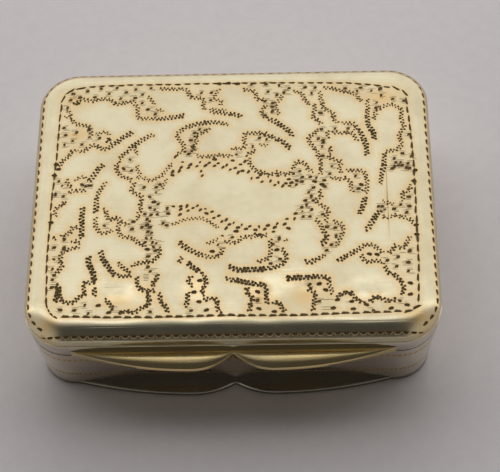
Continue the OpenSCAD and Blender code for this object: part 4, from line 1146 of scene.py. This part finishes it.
# A row of dashes on the roll, the front side with a pitch and a shape of its own
row_out, row_pitch, row_lean, row_shape = 1.42, 0.8, (0.1, 0.06), (0.32, 0.20, 0.17, 0.25, 0.06)
front_clear, front_left_over, front_right_over = 0.3, 0.2, 0.3
front_pitch, front_lean, front_shape = 0.66, 0.04, (0.30, 0.06, 0.27, 0, 0.06)
row_path = rim_ring(np.interp(row_out, section_out[:len(roll_turn)], section_run[:len(roll_turn)]))
row_path = np.vstack([row_path, row_path[:1]])
spots, ways, _ = walk(row_path, row_pitch)
row_front = row_path[:, 1].min()
for spot, way in zip(spots[:-1], ways):
    if spot[1] > row_front + front_clear:
        lid_cuts.append((*spot, math.atan2(way[1], way[0]) + dice.normal(*row_lean), *row_shape))
for x in np.arange(-flat_w / 2 - front_left_over, flat_w / 2 + front_right_over, front_pitch):
    lid_cuts.append((x, row_front, dice.normal(0, front_lean), *front_shape))

net_step, corner_margin = 0.45, 0.2
net_x = np.arange(-flat_w / 2 + net_step, flat_w / 2, net_step)
net_y = np.arange(-flat_d / 2 + net_step, flat_d / 2, net_step)
net = np.array([(x, y) for x in net_x for y in net_y])
corner_past = np.abs(net) - np.array([flat_w / 2 - flat_r, flat_d / 2 - flat_r])
cut_off = (corner_past > 0).all(1) & (np.linalg.norm(corner_past, axis=1) > flat_r - corner_margin)
*rolls, edge_ring = [rim_ring(run) for run in section_run]
shell = Shell()
edge, cut, stain_and_reflection = add_chased(shell, edge_ring, np.vstack([net[~cut_off], *rolls]), lid_cuts, lay_lid)
plate = np.array(shell.points)
# Warm patches join the stains: painted warm reflections at the front of the lid, real stains at its corners.
for patch in stains_and_warm_reflections:
    stain_and_reflection = np.maximum(stain_and_reflection, hollow(plate, *patch))
inner_lid = plan_ring(body_w - 2 * skirt_t, body_d - 2 * skirt_t, body_r - skirt_t)
inside_low, inside_high = shell.stack([inner_lid, inner_lid], [rim_z, ceiling_z], finish=1)
shell.bridge(inside_low, edge)
shell.face(inside_high[::-1], 1)
lid_silver = soiled(worked_metal("engraved_silver", silver_colour, silver_shade, roughness=(0.16, 0.26),
                                 wear=0.35), lid_soil)
lid_top = make_piece(shell, "lid_top_engraved", [lid_silver, gilding], "lid", ["lid_top"])
mark_cuts(lid_top, cut, stain_and_reflection)


# Floor: the pale grey surface that the box lies on, a wide sheet of matt paper with a faint mottle.
# It is stage, not part of the object.
floor_half = 2.0
paper_dark = (0.815, 0.775, 0.785, 1)
paper_light = (0.935, 0.88, 0.88, 1)
floor_mesh = bpy.data.meshes.new("floor")
floor_mesh.from_pydata([(-floor_half, -floor_half, 0), (floor_half, -floor_half, 0),
                        (floor_half, floor_half, 0), (-floor_half, floor_half, 0)], [], [(0, 1, 2, 3)])
floor = bpy.data.objects.new("floor", floor_mesh)
scene.collection.objects.link(floor)
paper = bpy.data.materials.new("grey_paper")
paper.use_nodes = True
tree = paper.node_tree
shader = tree.nodes["Principled BSDF"]
shader.inputs["Roughness"].default_value = 0.85
mottle = new_node(tree, "ShaderNodeTexNoise", inputs={
    "Vector": new_node(tree, "ShaderNodeTexCoord").outputs["Object"],
    "Scale": 900.0, "Detail": 6.0, "Roughness": 0.7})
tint = new_node(tree, "ShaderNodeMix", data_type="RGBA", inputs={
    0: mottle.outputs[0], 6: paper_dark, 7: paper_light})
tree.links.new(tint.outputs[2], shader.inputs["Base Color"])
floor_mesh.materials.append(paper)


# Light: a soft lamp close behind the box, hidden from reflections, in a room that is bright behind it, less
# so at its sides and dark before it. What the metal mirrors and what lights the floor have levels of their
# own: reflections also meet a low strip near the horizon, and the camera sees one plain grey.
lamp_size, lamp_power, lamp_place = 0.10, 0.03, (0, 0.11, 0.05)
room_colour = (1.0, 0.99, 0.975, 1)
front_level, front_mirrored = 0.035, 0.062
back_start, back_full, back_level = -0.03, 0.46, 1.02
panel_middle, panel_half, panel_end, panel_gain = 0.33, 0.04, 0.11, 1.65
side_start, side_full, side_level, side_mirrored = 0.14, 0.58, 0.05, 0.50
strip_full, strip_end, strip_mirrored = 0.22, 0.40, 0.5
camera_level = 0.48

lamp = bpy.data.objects.new("soft_lamp", bpy.data.lights.new("soft_lamp", "AREA"))
lamp.data.shape = "DISK"
lamp.data.size = lamp_size
lamp.data.energy = lamp_power
lamp.visible_glossy = False
lamp.location = lamp_place
lamp.rotation_mode = "QUATERNION"
lamp.rotation_quaternion = lamp.location.to_track_quat("Z", "Y")
scene.collection.objects.link(lamp)
room = bpy.data.worlds.new("room")
scene.world = room
room.use_nodes = True
tree = room.node_tree
direction = new_node(tree, "ShaderNodeTexCoord").outputs["Generated"]
toward = new_node(tree, "ShaderNodeSeparateXYZ", inputs={0: direction}).outputs
ray = new_node(tree, "ShaderNodeLightPath").outputs


def arithmetic(operation, *values):
    """One step of arithmetic on sockets and values."""
    return new_node(tree, "ShaderNodeMath", operation=operation, inputs=dict(enumerate(values))).outputs[0]


def ramp(value, start, end, low, high):
    """A smooth change from low to high while the value goes from start to end."""
    return new_node(tree, "ShaderNodeMapRange", interpolation_type="SMOOTHSTEP", inputs={
        "Value": value, "From Min": start, "From Max": end, "To Min": low, "To Max": high}).outputs[0]


def level_for(scattered, mirrored):
    """A level that is one for scattered light and another for what the metal mirrors."""
    return new_node(tree, "ShaderNodeMapRange", inputs={
        "Value": ray["Is Glossy Ray"], "To Min": scattered, "To Max": mirrored}).outputs[0]


behind = ramp(toward["Y"], back_start, back_full, level_for(front_level, front_mirrored), back_level)
off_panel = arithmetic("ABSOLUTE", arithmetic("SUBTRACT", toward["Y"], panel_middle))
panel = ramp(off_panel, panel_half, panel_end, panel_gain, 1.0)
clouds = new_node(tree, "ShaderNodeTexNoise", inputs={"Vector": direction, "Scale": 2.6, "Detail": 2.0})
uneven = new_node(tree, "ShaderNodeMapRange", inputs={
    "Value": clouds.outputs[0], "From Min": 0.3, "From Max": 0.7, "To Min": 0.9, "To Max": 1.1}).outputs[0]
behind = arithmetic("MULTIPLY", behind, arithmetic("MULTIPLY", panel, uneven))
aside = arithmetic("ABSOLUTE", toward["X"])
beside = ramp(aside, side_start, side_full, 0.0, level_for(side_level, side_mirrored))
strip = ramp(toward["Z"], strip_full, strip_end, level_for(0.0, strip_mirrored), 0.0)
lit = arithmetic("MAXIMUM", arithmetic("MAXIMUM", behind, beside), strip)
level = new_node(tree, "ShaderNodeMix", data_type="FLOAT", inputs={
    0: ray["Is Camera Ray"], 2: lit, 3: camera_level})
sky = tree.nodes["Background"]
sky.inputs["Color"].default_value = room_colour
tree.links.new(level.outputs[0], sky.inputs["Strength"])
